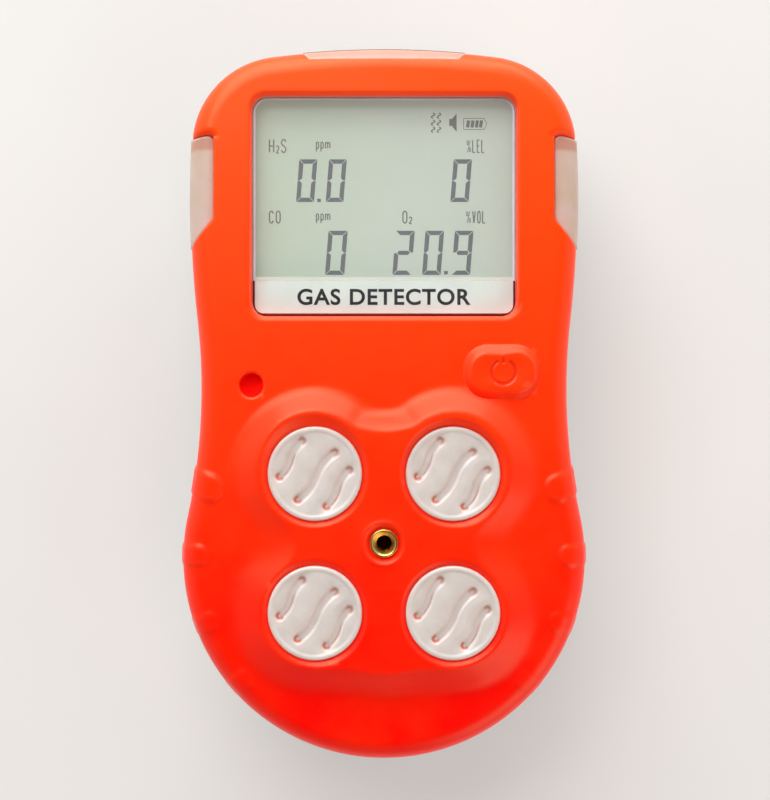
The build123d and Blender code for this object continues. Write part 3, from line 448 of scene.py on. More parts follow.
def tube(path, radius, sides=12):
    """A round wire along 3-D points, closed at both ends."""
    path = np.array(path, float)
    along = np.gradient(path, axis=0)
    along /= np.linalg.norm(along, axis=1)[:, None]
    normal = np.cross(along[0], (0.3, 0.2, 0.9))
    verts = []
    for point, direction in zip(path, along):
        normal = normal - direction * (normal @ direction)
        normal /= np.linalg.norm(normal)
        other = np.cross(direction, normal)
        for a in 2 * math.pi * np.arange(sides) / sides:
            verts.append(point + radius * (math.cos(a) * normal + math.sin(a) * other))
    ends = [range(sides)[::-1], range(len(verts) - sides, len(verts))]
    return verts, bands(len(path), sides) + ends


def flat_solids(polygons, low, high):
    """Thin upright solids over anticlockwise polygons. high is one height or one for each."""
    verts, faces = [], []
    for polygon, top in zip(polygons, np.broadcast_to(high, len(polygons))):
        count = len(polygon)
        made = [range(count)[::-1], range(count, 2 * count), *bands(2, count)]
        faces += [tuple(len(verts) + i for i in face) for face in made]
        verts += [(x, y, z) for z in (low, top) for x, y in polygon]
    return verts, faces


# Materials


class Nodes:
    """The nodes of a material or world under construction."""

    def __init__(self, block, place="Object"):
        block.use_nodes = True
        self.block, self.tree = block, block.node_tree
        self.place = self.add("TexCoord")[place]

    def add(self, kind, inputs=(), **values):
        """A new node's outputs. Its inputs are numbers, colours or other outputs, by name."""
        node = self.tree.nodes.new("ShaderNode" + kind)
        for key, value in values.items():
            setattr(node, key, value)
        self.feed(node, dict(inputs))
        return node.outputs

    def feed(self, node, inputs):
        for key, value in inputs.items():
            if isinstance(value, bpy.types.NodeSocket):
                self.tree.links.new(value, node.inputs[key])
            else:
                node.inputs[key].default_value = value

    def noise(self, size, detail=3.0, rough=0.55, stretch=None):
        """Noise with features of a size in millimetres, from 0 to 1."""
        place = self.place
        if stretch:
            place = self.add("Mapping", {"Scale": stretch, "Vector": place})["Vector"]
        inputs = {"Scale": 1 / (size * MM), "Detail": detail, "Roughness": rough, "Vector": place}
        return self.add("TexNoise", inputs)["Fac"]

    def ramp(self, source, low, high, start=0.3, end=0.7):
        """A number mapped from start..end to low..high."""
        inputs = {"Value": source, "From Min": start, "From Max": end, "To Min": low, "To Max": high}
        return self.add("MapRange", inputs)["Result"]

    def mix(self, share, first, second):
        """Two colours mixed. Each is a colour or an output."""
        first, second = ((*c, 1) if isinstance(c, tuple) else c for c in (first, second))
        return self.add("Mix", {"Factor": share, 6: first, 7: second}, data_type="RGBA")[2]

    def bump(self, source, depth, after=None):
        """Relief of a depth in millimetres."""
        inputs = {"Strength": 1.0, "Distance": depth * MM, "Height": source}
        if after:
            inputs["Normal"] = after
        return self.add("Bump", inputs)["Normal"]

    def tint(self):
        return self.add("Attribute", attribute_name="tint")["Fac"]

    def axis(self, which):
        return self.add("SeparateXYZ", {0: self.place})[which]

    def edges(self, low=0.52, high=0.6):
        """How much a surface stands out as an edge, from 0 to 1."""
        return self.ramp(self.add("NewGeometry")["Pointiness"], 0, 1, low, high)

    def finish(self, colour, rough, normal=None, **values):
        """Feeds the shader. What is the same all over goes straight to its inputs."""
        inputs = {key.replace("_", " "): value for key, value in values.items()}
        inputs |= {"Base Color": colour, "Roughness": rough}
        if normal:
            inputs["Normal"] = normal
        self.feed(self.tree.nodes["Principled BSDF"], inputs)


FINISHES = {}


def material(name):
    """A new material's nodes. The material is kept among the finishes."""
    FINISHES[name] = bpy.data.materials.new(name)
    return Nodes(FINISHES[name])


def plastic(name, first, second, rough=(0.4, 0.5), grain=0.25, depth=0.01, patch=9.0, wear=None, **values):
    """Moulded plastic, rubber or paint: two close colours in patches, fine grain, worn edges."""
    n = material(name)
    colour = n.mix(n.ramp(n.noise(patch, 4), 0, 1, 0.35, 0.65), first, second)
    if wear:
        colour = n.mix(n.edges(), colour, wear)
    rough = n.ramp(n.noise(patch / 3, 5), *rough)
    n.finish(colour, rough, n.bump(n.noise(grain, 2, 0.5), depth), **values)


def metal(name, first, second, rough=(0.25, 0.4), stretch=(1, 1, 1), grain=0.3):
    """Bare metal with drawn or turned lines."""
    n = material(name)
    lines = n.noise(grain, 3, 0.6, stretch)
    colour = n.mix(n.ramp(lines, 0, 1), first, second)
    n.finish(colour, n.ramp(n.noise(4.0, 5), *rough), n.bump(lines, 0.004), Metallic=1.0)


def shell_material(name):
    """Satin orange elastomer: warmer and paler to the display's end as a painted sheen, fine grain, rubbed edges.
    """
    n = material(name)
    # painted sheen: the colour turns paler toward the display's end, where the light falls
    along = n.ramp(n.axis(1), 0, 1, -0.045, 0.062)
    base = n.mix(along, (0.96, 0.001, 0.0), (0.99, 0.078, 0.001))
    patchy = n.mix(n.ramp(n.noise(14, 5), 0, 0.3, 0.35, 0.7), base, (1.0, 0.05, 0.001))
    worn = n.mix(n.ramp(n.edges(0.51, 0.6), 0, 0.25, 0, 1), patchy, (1.0, 0.16, 0.07))
    # painted shade: the tint darkens the shell where it is set, in the power sign's groove
    sign_shaded = n.mix(n.tint(), worn, (0.55, 0.008, 0.001))
    fine = n.bump(n.noise(0.28, 2, 0.5), 0.008)
    # the faint red glow is painted light that lifts the shell's shadows to saturated red
    n.finish(sign_shaded, n.ramp(n.noise(3.5, 6), 0.30, 0.37), n.bump(n.noise(2.4, 3), 0.02, fine),
             Specular_IOR_Level=0.4, Specular_Tint=(1.0, 0.92, 0.6, 1.0), Emission_Strength=0.13,
             Emission_Color=(1.0, 0.004, 0.0, 1.0))


def frosted(name, sizes, first, second, deep, rough, depth, **values):
    """Frosted translucent plastic, tinted where the shell's colour shows through. sizes are those of its clouds,
    smears and grain."""
    n = material(name)
    clouds, smears, grain = sizes
    cloudy = n.mix(n.ramp(n.noise(clouds, 4), 0, 1), first, second)
    tinted = n.mix(n.tint(), cloudy, deep)
    n.finish(tinted, n.ramp(n.noise(smears, 4), *rough), n.bump(n.noise(grain, 2), depth),
             Subsurface_Scale=1.0, **values)


def lcd_material(name):
    """The display's grey-green field, a little darker to the left, with faint cell texture."""
    n = material(name)
    across = n.ramp(n.axis(0), 0, 1, -0.022, 0.004)
    base = n.mix(across, (0.293, 0.375, 0.285), (0.33, 0.395, 0.335))
    cell = n.mix(n.ramp(n.noise(0.4, 2), 0, 0.25), base, (0.40, 0.43, 0.38))
    # the field glows at its own colour, painted light that weakens the shadows of the window's walls on it
    n.finish(cell, n.ramp(n.noise(6, 3), 0.35, 0.45), n.bump(n.noise(0.5, 2), 0.003),
             Specular_IOR_Level=0.4, Emission_Strength=0.5, Emission_Color=cell)


def lens_material(name):
    """Clear sheet with a faint haze."""
    n = material(name)
    haze = n.mix(n.ramp(n.noise(7, 4), 0, 1), (0.80, 0.84, 0.80), (0.90, 0.92, 0.90))
    n.finish(haze, n.ramp(n.noise(5, 4), 0.04, 0.09), Alpha=0.10, Specular_IOR_Level=0.5)


def floor_material(name):
    n = material(name)
    patchy = n.ramp(n.noise(90, 3), 0, 1, 0.4, 0.6)
    colour = n.mix(patchy, (0.424, 0.418, 0.406), (0.434, 0.428, 0.416))
    n.finish(colour, n.ramp(n.noise(20, 3), 0.6, 0.7), Specular_IOR_Level=0.1, Emission_Strength=0.95,
             Emission_Color=colour)


# Colours in two shades, then roughness, grain size and depth, patch size and colour of worn edges
PLASTICS = {
    "dark_nylon": ((0.022, 0.022, 0.024), (0.034, 0.034, 0.037), (0.45, 0.6), 0.5, 0.03, 9.0,
                   (0.08, 0.08, 0.085)),
    "black_rubber": ((0.014, 0.014, 0.014), (0.024, 0.023, 0.022), (0.6, 0.75), 0.4, 0.02),
    "grey_rubber": ((0.10, 0.10, 0.105), (0.14, 0.14, 0.145), (0.6, 0.7)),
    "orange_gasket": ((0.60, 0.05, 0.02), (0.68, 0.08, 0.03), (0.5, 0.6)),
    "lcd_ink": ((0.020, 0.032, 0.058), (0.030, 0.042, 0.070), (0.3, 0.4), 0.3, 0.002, 3.0),
    "lcd_faint_ink": ((0.06, 0.065, 0.055), (0.08, 0.085, 0.075), (0.3, 0.4), 0.3, 0.002, 3.0),
    "label_film": ((0.63, 0.74, 0.695), (0.68, 0.80, 0.755), (0.3, 0.4), 0.3, 0.003, 6.0),
    "label_ink": ((0.022, 0.022, 0.026), (0.035, 0.035, 0.04), (0.3, 0.45), 0.3, 0.002, 3.0),
    "white_plastic": ((0.72, 0.72, 0.70), (0.78, 0.78, 0.76)),
    "black_plastic": ((0.018, 0.018, 0.018), (0.028, 0.028, 0.028)),
    # the lens rim's pale colour is a painted reflection on the clear lens's bevel
    "lens_rim_glint": ((0.62, 0.60, 0.64), (0.70, 0.68, 0.72), (0.12, 0.2), 0.3, 0.002, 5.0),
    "white_membrane": ((0.66, 0.5, 0.45), (0.72, 0.58, 0.53), (0.6, 0.7), 0.15, 0.02),
    "circuit_board": ((0.012, 0.11, 0.045), (0.018, 0.15, 0.06), (0.3, 0.4), 0.6, 0.01, 5.0),
    "chip_plastic": ((0.016, 0.016, 0.018), (0.026, 0.026, 0.028), (0.45, 0.55)),
    "sensor_can": ((0.66, 0.66, 0.63), (0.72, 0.72, 0.69), (0.3, 0.4)),
}
# Colours in two shades, then roughness, stretch of the lines and their size
METALS = {
    "steel": ((0.42, 0.42, 0.43), (0.55, 0.55, 0.56), (0.25, 0.38)),
    "clip_steel": ((0.50, 0.50, 0.51), (0.62, 0.62, 0.63), (0.28, 0.42), (1, 0.02, 1), 0.12),
    "spring_steel": ((0.34, 0.34, 0.36), (0.45, 0.45, 0.47), (0.22, 0.35)),
    "tungsten": ((0.20, 0.20, 0.21), (0.28, 0.28, 0.29), (0.45, 0.6)),
    "brass": ((0.66, 0.45, 0.12), (0.84, 0.62, 0.20), (0.22, 0.34), (1, 1, 0.2), 0.2),
    "gold_pins": ((0.72, 0.50, 0.18), (0.82, 0.60, 0.25), (0.2, 0.3)),
    "battery_foil": ((0.50, 0.51, 0.53), (0.60, 0.61, 0.63), (0.35, 0.5)),
    "label_plate": ((0.56, 0.56, 0.57), (0.66, 0.66, 0.67), (0.32, 0.45), (0.03, 1, 1), 0.12),
}

for plain, look in PLASTICS.items():
    plastic(plain, *look)
for bare, look in METALS.items():
    metal(bare, *look)
plastic("red_membrane", (0.95, 0.002, 0.0), (1.0, 0.006, 0.0), (0.6, 0.7), 0.15, 0.02, Specular_IOR_Level=0.05)
# painted shade: a dark film standing for the shaded gap between lens and shell
plastic("lens_gap_shade", (0.15, 0.006, 0.003), (0.20, 0.010, 0.005), (0.5, 0.6), Specular_IOR_Level=0.1)
plastic("lens_haze", (0.80, 0.79, 0.72), (0.86, 0.84, 0.78), (0.15, 0.25), 0.3, 0.002, 5.0, Alpha=0.55)
frosted("frosted_window", (4.5, 2.0, 0.35), (0.55, 0.42, 0.31), (0.63, 0.47, 0.42), (0.52, 0.24, 0.17),
        (0.35, 0.5), 0.006, Subsurface_Weight=0.35, Subsurface_Radius=(0.003, 0.002, 0.0015),
        Specular_IOR_Level=0.6, Coat_Weight=0.25, Coat_Roughness=0.25)
frosted("frosted_grille", (2.5, 1.5, 0.3), (0.68, 0.63, 0.59), (0.76, 0.71, 0.67), (0.72, 0.13, 0.05),
        (0.28, 0.42), 0.005, Subsurface_Weight=0.3, Subsurface_Radius=(0.002, 0.0014, 0.001),
        Specular_IOR_Level=0.7, Coat_Weight=0.35, Coat_Roughness=0.2)
shell_material("orange_shell")
lcd_material("display_glass")
lens_material("clear_lens")
floor_material("floor")


def finish_cad_nodes():
    """Gives every carried-over CAD node its slot's material."""
    for item in frame["record"]["subparts"]:
        materials = NODES[item["node"]].data.materials
        materials.clear()
        materials.append(FINISHES[item["material_slot"]])


# Front shell

# Each sensor's hump: crest and foot radius of its slope by direction in degrees
HUMPS = {
    "h2s": ((0, 9.5, 13.0), (60, 10.0, 14.8), (90, 10.1, 15.0), (125, 10.0, 14.8),
            (155, 9.4, 14.8), (180, 8.9, 15.6), (215, 8.6, 15.2), (270, 8.6, 12.4)),
    "lel": ((0, 8.9, 16.4), (25, 9.2, 15.8), (55, 9.8, 15.2), (90, 10.1, 15.0),
            (120, 10.0, 14.8), (180, 9.5, 13.0), (270, 8.6, 12.4), (325, 8.6, 15.4)),
    "co": ((0, 8.6, 12.0), (90, 8.6, 12.4), (150, 8.4, 15.4), (180, 8.4, 16.0),
           (225, 8.5, 15.6), (270, 8.5, 14.4)),
    "o2": ((0, 8.4, 16.0), (45, 8.4, 15.4), (90, 8.6, 12.4), (180, 8.6, 12.0),
           (270, 8.5, 14.4), (315, 8.5, 15.6)),
}
# Each seat's bevel: its width by direction in degrees
SEAT_BEVELS = {
    "h2s": ((0, 1.0), (45, 1.5), (90, 2.3), (120, 2.2), (180, 1.0), (270, 0.95)),
    "lel": ((0, 1.1), (45, 1.1), (90, 1.4), (135, 1.2), (180, 0.9), (270, 0.95), (310, 1.5)),
    "co": ((0, 0.9), (90, 1.2), (135, 1.2), (180, 0.9), (270, 1.15)),
    "o2": ((0, 1.0), (90, 1.2), (135, 1.0), (180, 0.9), (270, 1.1)),
}
SEAT_DEPTH = 0.55
BELLY, BELLY_R, BELLY_SLOPE = (0, -30.2), 14.2, 5.6
# Where the plateau's slope turns from crest to ramp and from ramp to foot, from 0 to 1
CREST_END, FOOT_START = 0.16, 0.55


def by_angle(table, angles, column):
    """A value from a table by direction."""
    return np.interp(angles, [row[0] for row in table], [row[column] for row in table], period=360)


def plateau_share(query):
    """How far the surface has climbed from the face to the sensor plateau, from 0 to 1."""
    fields = []
    for name, table in HUMPS.items():
        radius, angles = polar(query, SENSORS[name])
        crest, foot = (by_angle(table, angles, column) for column in (1, 2))
        fields.append((radius - crest) / (foot - crest))
    # the upper humps melt into each other, but not at their feet
    upper_k = 3.44 - 2.02 * smooth(((fields[0] + fields[1]) / 2 - 0.76) / 0.7)
    upper = blend_min(fields[0], fields[1], upper_k)
    lower = blend_min(fields[2], fields[3], 1.6)
    middle = rect_distance(query, (INSERT, (10.5, 11.5), 3.0)) / 4.0
    belly = (polar(query, BELLY)[0] - BELLY_R) / BELLY_SLOPE
    field = blend_min(blend_min(upper, middle, 0.9), blend_min(lower, belly, 0.8), 1.4)
    # a tight crest, a straight ramp and a long soft foot
    climb = np.clip(field, 0, 1)
    ramp = np.where(climb < CREST_END, climb**2 / (2 * CREST_END), climb - CREST_END / 2)
    fall = np.maximum(climb - FOOT_START, 0) ** 2 / (2 * (1 - FOOT_START))
    return 1 - (ramp - fall) / (1 - CREST_END / 2 - (1 - FOOT_START) / 2)


def face_height(query):
    """The front face without its outer edge: crown, plateau, seats and small features."""
    x, y = query[:, 0], query[:, 1]
    face = FACE_Z - CROWN * (y / 60) ** 2
    plateau = PLATEAU_Z - 0.05 - 0.62 * smooth((-y - 3) / 17)
    z = face + (plateau - face) * plateau_share(query)
    # dished seats round the grilles
    seat_z = GRILLE_TOP_Z - SEAT_DEPTH
    for name, centre in SENSORS.items():
        radius, angles = polar(query, centre)
        width = by_angle(SEAT_BEVELS[name], angles, 1)
        climb = 1 - (1 - np.clip((radius - SEAT_R) / width, 0, 1)) ** 1.25
        z = np.where(radius < SEAT_R + width, seat_z + (z - seat_z) * climb, z)
    # countersunk rim of the calibration insert, with a raised lip
    radius, _ = polar(query, INSERT)
    z += 0.16 * np.exp(-(((radius - 3.55) / 0.35) ** 2))
    z -= 0.85 * smooth((3.3 - radius) / 0.9)
    # a faint crease below the insert, and a speck beside the display
    z += 0.05 * np.exp(-(((y + 31) / 0.45) ** 2)) * smooth(3.6 - np.abs(x))
    z += 0.05 * np.exp(-(((x + 25.15) ** 2 + (y - 42.5) ** 2) / 0.04))
    # rounded edges of the window, softer at its low end, and of the port
    away = rect_distance(query, WINDOW_FACE)
    low_edge = smooth((19 - y) / 3)
    z -= edge_drop(away, 0.28, 0.28) * (1 - low_edge)
    z -= 0.34 * low_edge * np.clip(1 - away / 0.7, 0, 1) ** 1.25
    return z - edge_drop(polar(query, PORT)[0] - PORT_R, 0.5, 0.5)


def rib_share(query):
    """How far the grip ribs stand out at a point, in millimetres."""
    share = np.zeros(len(query))
    for angle, half, height in RIBS:
        for turn in (math.radians(angle), math.radians(180 - angle)):
            along = np.array([math.cos(turn), math.sin(turn)])
            offset = query - np.array((0, TAIL_Y))
            reach, side = offset @ along, offset @ np.array([-along[1], along[0]])
            away = np.hypot(side, np.minimum(reach - RIB_START - half, 0))
            share = np.maximum(share, height * smooth((half + 0.28 - away) / 0.7) * (reach > 0))
    return share


def make_front_shell():
    """The front half: one dense skin with every opening, closed underneath."""
    points, facing, cut = (np.concatenate(part) for part in zip(*NOTCHES))
    notches = Nearest(points, facing)
    holes = [round_rect(WINDOW_FACE, like=WINDOW_COUNTS), round_rect(PAD, PAD_GAP, 0.25),
             circle(PORT, PORT_R, 48), circle(INSERT, INSERT_R, 56)]
    holes += [circle(centre, SEAT_R, 150) for centre in SENSORS.values()]
    loops = [SKIN_EDGE] + [hole[::-1] for hole in holes]

    rings = [OUTLINE - OUTLINE_NORMALS * d for d in
             (0.06, 0.16, 0.3, 0.5, 0.78, 1.1, 1.45, 1.8, 2.15, 2.5, 2.85, 3.2, 3.6, 4.0)]
    rings += [points - facing * cut[:, :1] * share for share in (0.06, 0.2, 0.45, 0.75, 1.0)]
    for grow in (0.06, 0.16, 0.3, 0.5, 0.75):
        rings += [round_rect(WINDOW_FACE, grow), circle(PORT, PORT_R + grow, 48),
                  circle(INSERT, INSERT_R + grow * 1.4, 56)]
    rings += [round_rect(PAD, grow, 0.3) for grow in (0.16, 0.28, 0.48)]
    for centre in SENSORS.values():
        for grow in (0.08, 0.18, 0.3, 0.45, 0.6, 0.8, 1.0, 1.25, 1.55, 1.9, 2.3):
            rings.append(circle(centre, SEAT_R + grow, 150))
    rings += [circle(INSERT, radius, 60) for radius in (3.6, 3.85, 4.1)]
    grid = hex_grid((-35, -61), (35, 61), 0.42)
    clear = (RIM.depth(grid)[0] > 4.1) & (rect_distance(grid, WINDOW_FACE) > 0.85)
    for centre, reach in ((INSERT, 4.2), *((c, SEAT_R + 2.5) for c in SENSORS.values())):
        clear &= polar(grid, centre)[0] > reach
    rings.append(grid[clear])

    def top(query):
        z = face_height(query) - edge_drop(np.maximum(RIM.depth(query)[0], 0), EDGE_R, EDGE_R)
        away, index, near = notches.depth(query)
        width, fall = cut[index].T
        return z - np.where(near < width + 0.3, edge_drop(np.maximum(away, 0), width, fall), 0)

    def bottom(query):
        depth = RIM.depth(query)[0]
        away, _, near = notches.depth(query)
        depth = np.where(near < 4, np.minimum(depth, away), depth)
        return SPLIT_Z + (CEILING_Z - SPLIT_Z) * smooth((depth - 1.9) / 1.2)

    # the side down to the split, the window's recess down to the lens, and plain walls in the other holes
    side = [26.0, 24.0, 22.0, 20.0, 18.0, 16.35, at_height(SKIN_EDGE - SKIN_FACING * 0.3, SPLIT_Z + 0.02)]
    recess = [at_height(round_rect(WINDOW_LENS, like=WINDOW_COUNTS)[::-1], CEILING_Z)]
    skirts = [side, recess] + [[]] * (len(holes) - 1)
    verts, faces = sheet_solid(loops, rings, 0.045, 0.085, top, bottom, skirts)

    # ribs stand out along the surface's normal, and a little higher on the face
    depth, index, _ = RIM.depth(verts[:, :2])
    lean = np.clip((EDGE_R - depth) / EDGE_R, 0, 1)
    on_skin = (verts[:, 2] > CEILING_Z + 0.2) | ((verts[:, 2] > SPLIT_Z + 0.2) & (depth < 0.05))
    share = rib_share(verts[:, :2]) * on_skin * smooth((7.5 - depth) / 1.5)
    verts[:, :2] += OUTLINE_NORMALS[index] * (lean * share)[:, None]
    verts[:, 2] += 1.4 * np.sqrt(np.maximum(0, 1 - lean**2)) * share
    add_piece("front_skin", verts, faces, "orange_shell", stands_for=["front_shell"], sharp=50,
              tint=np.zeros(len(verts)))


def make_notch_sills():
    """The shell's wall below each alarm window, which the window stands on."""
    paths = [path for path, _, _ in NOTCHES]
    walls = [np.concatenate([path[:1], lost_edge(path)[0], path[:0:-1]]) for path in paths]
    heights = [TOP_SILL_Z if at_top(path) else SIDE_SILL_Z for path in paths]
    verts, faces = flat_solids(walls, SPLIT_Z, heights)
    add_piece("front_skin_sills", verts, faces, "orange_shell", tint=np.zeros(len(verts)))


def make_alarm_window(side, path, across):
    """A frosted window that follows the body's rounded edge and stands a little proud of it."""
    proud, gap, clear = 0.3, 0.03, 0.12
    inner_path = path + across * gap
    skin, along = lost_edge(path, proud)
    away = np.array([np.linalg.norm(inner_path - s, axis=1).min() for s in skin])
    skin = skin[away > clear]
    ends = [end + OUTLINE_NORMALS[RIM.depth(end[None])[1][0]] * proud for end in inner_path[[0, -1]]]
    reach = skin @ along
    skin = skin[(reach > ends[0] @ along + clear) & (reach < ends[1] @ along - clear)]
    loop = np.concatenate([ends[:1], skin, ends[1:], inner_path[::-1]])
    edge = Nearest(inner_path, -across)
    rings = [OUTLINE + OUTLINE_NORMALS * (proud - d) for d in
             (0.06, 0.16, 0.3, 0.5, 0.78, 1.1, 1.5, 1.9, 2.3, 2.7, 3.1, 3.5)]
    rings += [inner_path + across * d for d in (0.06, 0.15, 0.28, 0.45, 0.7)]
    grid = hex_grid(loop.min(0) - 1, loop.max(0) + 1, 0.3)
    rings.append(grid[RIM.depth(grid)[0] > 3.6])

    def top(query):
        face = 30.0 - CROWN * (query[:, 1] / 60) ** 2
        z = face - edge_drop(np.maximum(RIM.depth(query)[0] + proud, 0), EDGE_R, EDGE_R)
        away, _, near = edge.depth(query)
        return z - np.where(near < 1, edge_drop(np.maximum(away, 0), 0.4, 0.4), 0)

    low_z = TOP_SILL_Z if at_top(path) else SIDE_SILL_Z
    verts, faces = sheet_solid([loop], rings, 0.04, 0.07, top, low_z + 0.08, [(26.0, 24.0, 22.0)])
    # the shell's colour shows through the top window, and at the side windows' high ends
    tint = np.full(len(verts), 0.88) if at_top(path) else 0.9 * smooth((verts[:, 1] - 42.3) / 0.5)
    tint *= 1 - 0.7 * (edge.depth(verts[:, :2])[2] < 0.35)
    add_piece(f"alarm_window_{side}_glazing", verts, faces, "frosted_window",
              stands_for=[f"alarm_window_{side}"], sharp=50, tint=tint)


# Parts on the face


def make_power_button():
    """The raised pad: a wide soft bevel, a dished top and an engraved power sign."""
    sign, sign_r, sign_gap, stroke = (19.85, 5.25), 2.0, 33, 0.3
    rings = [round_rect(PAD, -d, 0.2) for d in (0.1, 0.25, 0.42, 0.6, 0.8, 1.0, 1.2, 1.4, 1.6, 1.8, 2.0)]
    grid = hex_grid((12, 0), (27, 11), 0.13)
    rings.append(grid[rect_distance(grid, PAD) < -2.15])

    def sign_depth(query):
        radius, angles = polar(query, sign)
        offset = query - sign
        turn = math.radians(90 - sign_gap)
        end = np.array([math.cos(turn), math.sin(turn)]) * sign_r
        ends = [np.linalg.norm(offset - end * flip, axis=1) for flip in ((1, 1), (-1, 1))]
        ring = np.where(np.abs((angles + 90) % 360 - 180) < sign_gap, np.minimum(*ends), np.abs(radius - sign_r))
        bar = np.hypot(offset[:, 0], np.maximum(np.abs(offset[:, 1] - sign_r) - 0.3, 0))
        return smooth((stroke + 0.12 - np.minimum(ring, bar)) / 0.24)

    def top(query):
        inward = -rect_distance(query, PAD)
        angles = polar(query, PAD[0])[1]
        width = np.interp(angles, (-90, 0, 60, 90, 120, 180), (1.45, 1.1, 1.7, 2.0, 2.0, 1.3), period=360)
        climb = np.clip(inward / width, 0, 1)
        z = FACE_Z - 0.01 + (PAD_TOP_Z - FACE_Z) * (0.55 * np.sin(climb * math.pi / 2) + 0.45 * smooth(climb))
        return z - 0.16 * smooth((inward - 1.9) / 2.2) - 0.12 * sign_depth(query)

    verts, faces = sheet_solid([round_rect(PAD, step=0.18)], rings, 0.04, 0.06, top, 28.0, [(30.2,)])
    # painted shade in the engraved power sign
    tint = sign_depth(verts[:, :2]) * 0.5 * (verts[:, 2] > FACE_Z)
    add_piece("button_pad", verts, faces, "orange_shell", "button", stands_for=["power_button"], sharp=50,
              tint=tint)


def slot_curve(length, chord, steep, count=40):
    """Points along an S about its middle: two arcs, steep where they meet."""
    turn = math.radians(2 * (steep - chord))
    a = math.radians(steep) - turn * np.linspace(0, 1, count)
    step = length / 2 / math.sin(turn / 2) * (turn / 2) / (count - 1)
    moves = np.stack([np.cos(a), np.sin(a)], 1)
    first = np.concatenate([[(0, 0)], np.cumsum((moves[1:] + moves[:-1]) / 2, axis=0)]) * step
    return np.concatenate([-first[:0:-1], first])


def make_grille(name, centre):
    """A frosted disc with three S-shaped troughs that run deep at their ends."""
    count = 140
    rings = [circle(centre, GRILLE_R - d, count) for d in (0.06, 0.14, 0.25, 0.4, 0.6, 0.75, 0.9, 1.05)]
    grid = hex_grid(np.array(centre) - 8, np.array(centre) + 8, 0.17)
    rings.append(grid[polar(grid, centre)[0] < GRILLE_R - 1.15])
    curves = []
    for place, length, chord in (((0.2, -0.4), 9.9, 52), ((-4.0, 2.45), 6.9, 58), ((3.8, -2.45), 7.0, 58)):
        points = slot_curve(length, chord, chord + 19) + np.array(centre) + np.array(place)
        curves.append(Nearest(points, path_normals(points)))

    def troughs(query):
        """Broad valley, channel, nearness to a channel's end, the seam beside it and the hooks round its ends."""
        valley, channel, ending, seam, hooks = np.zeros((5, len(query)))
        for number, curve in enumerate(curves):
            side, index, away = curve.depth(query)
            along = index / (len(curve.points) - 1)
            tip = np.abs(along * 2 - 1)
            here = smooth((0.92 - away) / 0.42)
            valley = np.maximum(valley, np.exp(-((away / 1.3) ** 2)))
            hook = smooth((tip - 0.86) / 0.12) * smooth((away - 0.12) / 0.3) * np.where(along < 0.5, 0.85, 0.5)
            hooks = np.maximum(hooks, hook * here)
            ending = np.where(here > channel, tip, ending)
            channel = np.maximum(channel, here)
            if number:
                run = smooth((along - 0.04) / 0.1) * smooth((0.72 - along) / 0.2)
                seam = np.maximum(seam, run * np.exp(-(((side + 0.42) / 0.09) ** 2)) * (away < 0.8))
        return valley, channel, ending, seam, hooks

    def top(query):
        inward = GRILLE_R - polar(query, centre)[0]
        z = GRILLE_TOP_Z - edge_drop(np.maximum(inward, 0), 0.4, 0.4) - 0.12 * smooth((inward - 0.65) / 0.35)
        valley, channel, ending, seam, _ = troughs(query)
        deep = 0.25 + 0.09 * smooth((ending - 0.75) / 0.25)
        return z - smooth((inward - 0.8) / 0.5) * (0.2 * valley + channel * deep + 0.12 * seam)

    verts, faces = sheet_solid([circle(centre, GRILLE_R, count)], rings, 0.04, 0.07, top, GRILLE_LOW_Z)
    valley, channel, _, seam, hooks = troughs(verts[:, :2])
    rim = smooth((polar(verts[:, :2], centre)[0] - GRILLE_R + 0.22) / 0.15)
    tint = 0.05 * valley + 0.05 * channel + hooks + 0.55 * seam + 0.12 * rim
    tint = np.minimum(tint, 1) * (verts[:, 2] > GRILLE_LOW_Z + 0.1)
    add_piece(f"grille_disc_{name}", verts, faces, "frosted_grille", stands_for=[f"grille_{name}"], sharp=60,
              tint=tint)


def make_cal_insert():
    """The brass insert: a countersunk mouth over a threaded bore."""
    count, pitch = 96, 0.5
    mouth = [(2.4, 27.0), (2.4, 32.8), (2.32, 32.95), (2.2, 33.0), (2.05, 33.0), (1.95, 32.95), (1.45, 32.2)]
    bore = np.arange(32.1, 27.0, -pitch / 8)
    verts = []
    for i in range(count):
        a = 2 * math.pi * i / count
        column = (mouth + [(1.27 + 0.3 * abs((z / pitch + i / count) % 1 - 0.5), z) for z in bore])[::-1]
        verts += [(INSERT[0] + r * math.cos(a), INSERT[1] + r * math.sin(a), z) for r, z in column]
    add_piece("brass_insert", verts, bands(count, len(column), wrap=True), "brass", stands_for=["cal_insert"],
              sharp=50)


# Display

SEGMENTS = {"0": "abcdef", "2": "abged", "9": "abcdfg"}
FILM_THICK = 0.02


def digit(symbol, low_x, high_x, low_y, high_y, slant=0.08, weight=0.78, gap=0.09):
    """The bars of a seven-segment digit, with bevelled ends."""
    w, h, t = high_x - low_x, high_y - low_y, weight
    mid, over, under = h / 2, h / 2 + t / 2, h / 2 - t / 2
    upright = [(0, h), (0, mid), (t * 0.5, mid), (t, over), (t, h - t)]
    level = [(0, h), (t, h - t), (w - t, h - t), (w, h)]
    bars = {
        "a": level, "d": [(x, h - y) for x, y in reversed(level)],
        "g": [(t * 0.6, mid), (t, under), (w - t, under), (w - t * 0.6, mid), (w - t, over), (t, over)],
        "f": upright, "e": [(x, h - y) for x, y in reversed(upright)],
        "b": [(w - x, y) for x, y in reversed(upright)], "c": [(w - x, h - y) for x, y in upright],
    }
    made = []
    for bar in SEGMENTS[symbol]:
        points = np.array(bars[bar], float)
        middle = points.mean(0)
        reach = np.linalg.norm(points - middle, axis=1).max()
        points = middle + (points - middle) * (1 - gap / reach)
        made.append(points + np.stack([low_x + slant * (points[:, 1] - mid), np.full(len(points), low_y)], 1))
    return made


def ribbon(points, width):
    """A band along a line, as one polygon."""
    points = np.array(points, float)
    normals = path_normals(points)
    return np.concatenate([points + normals * width / 2, (points - normals * width / 2)[::-1]])


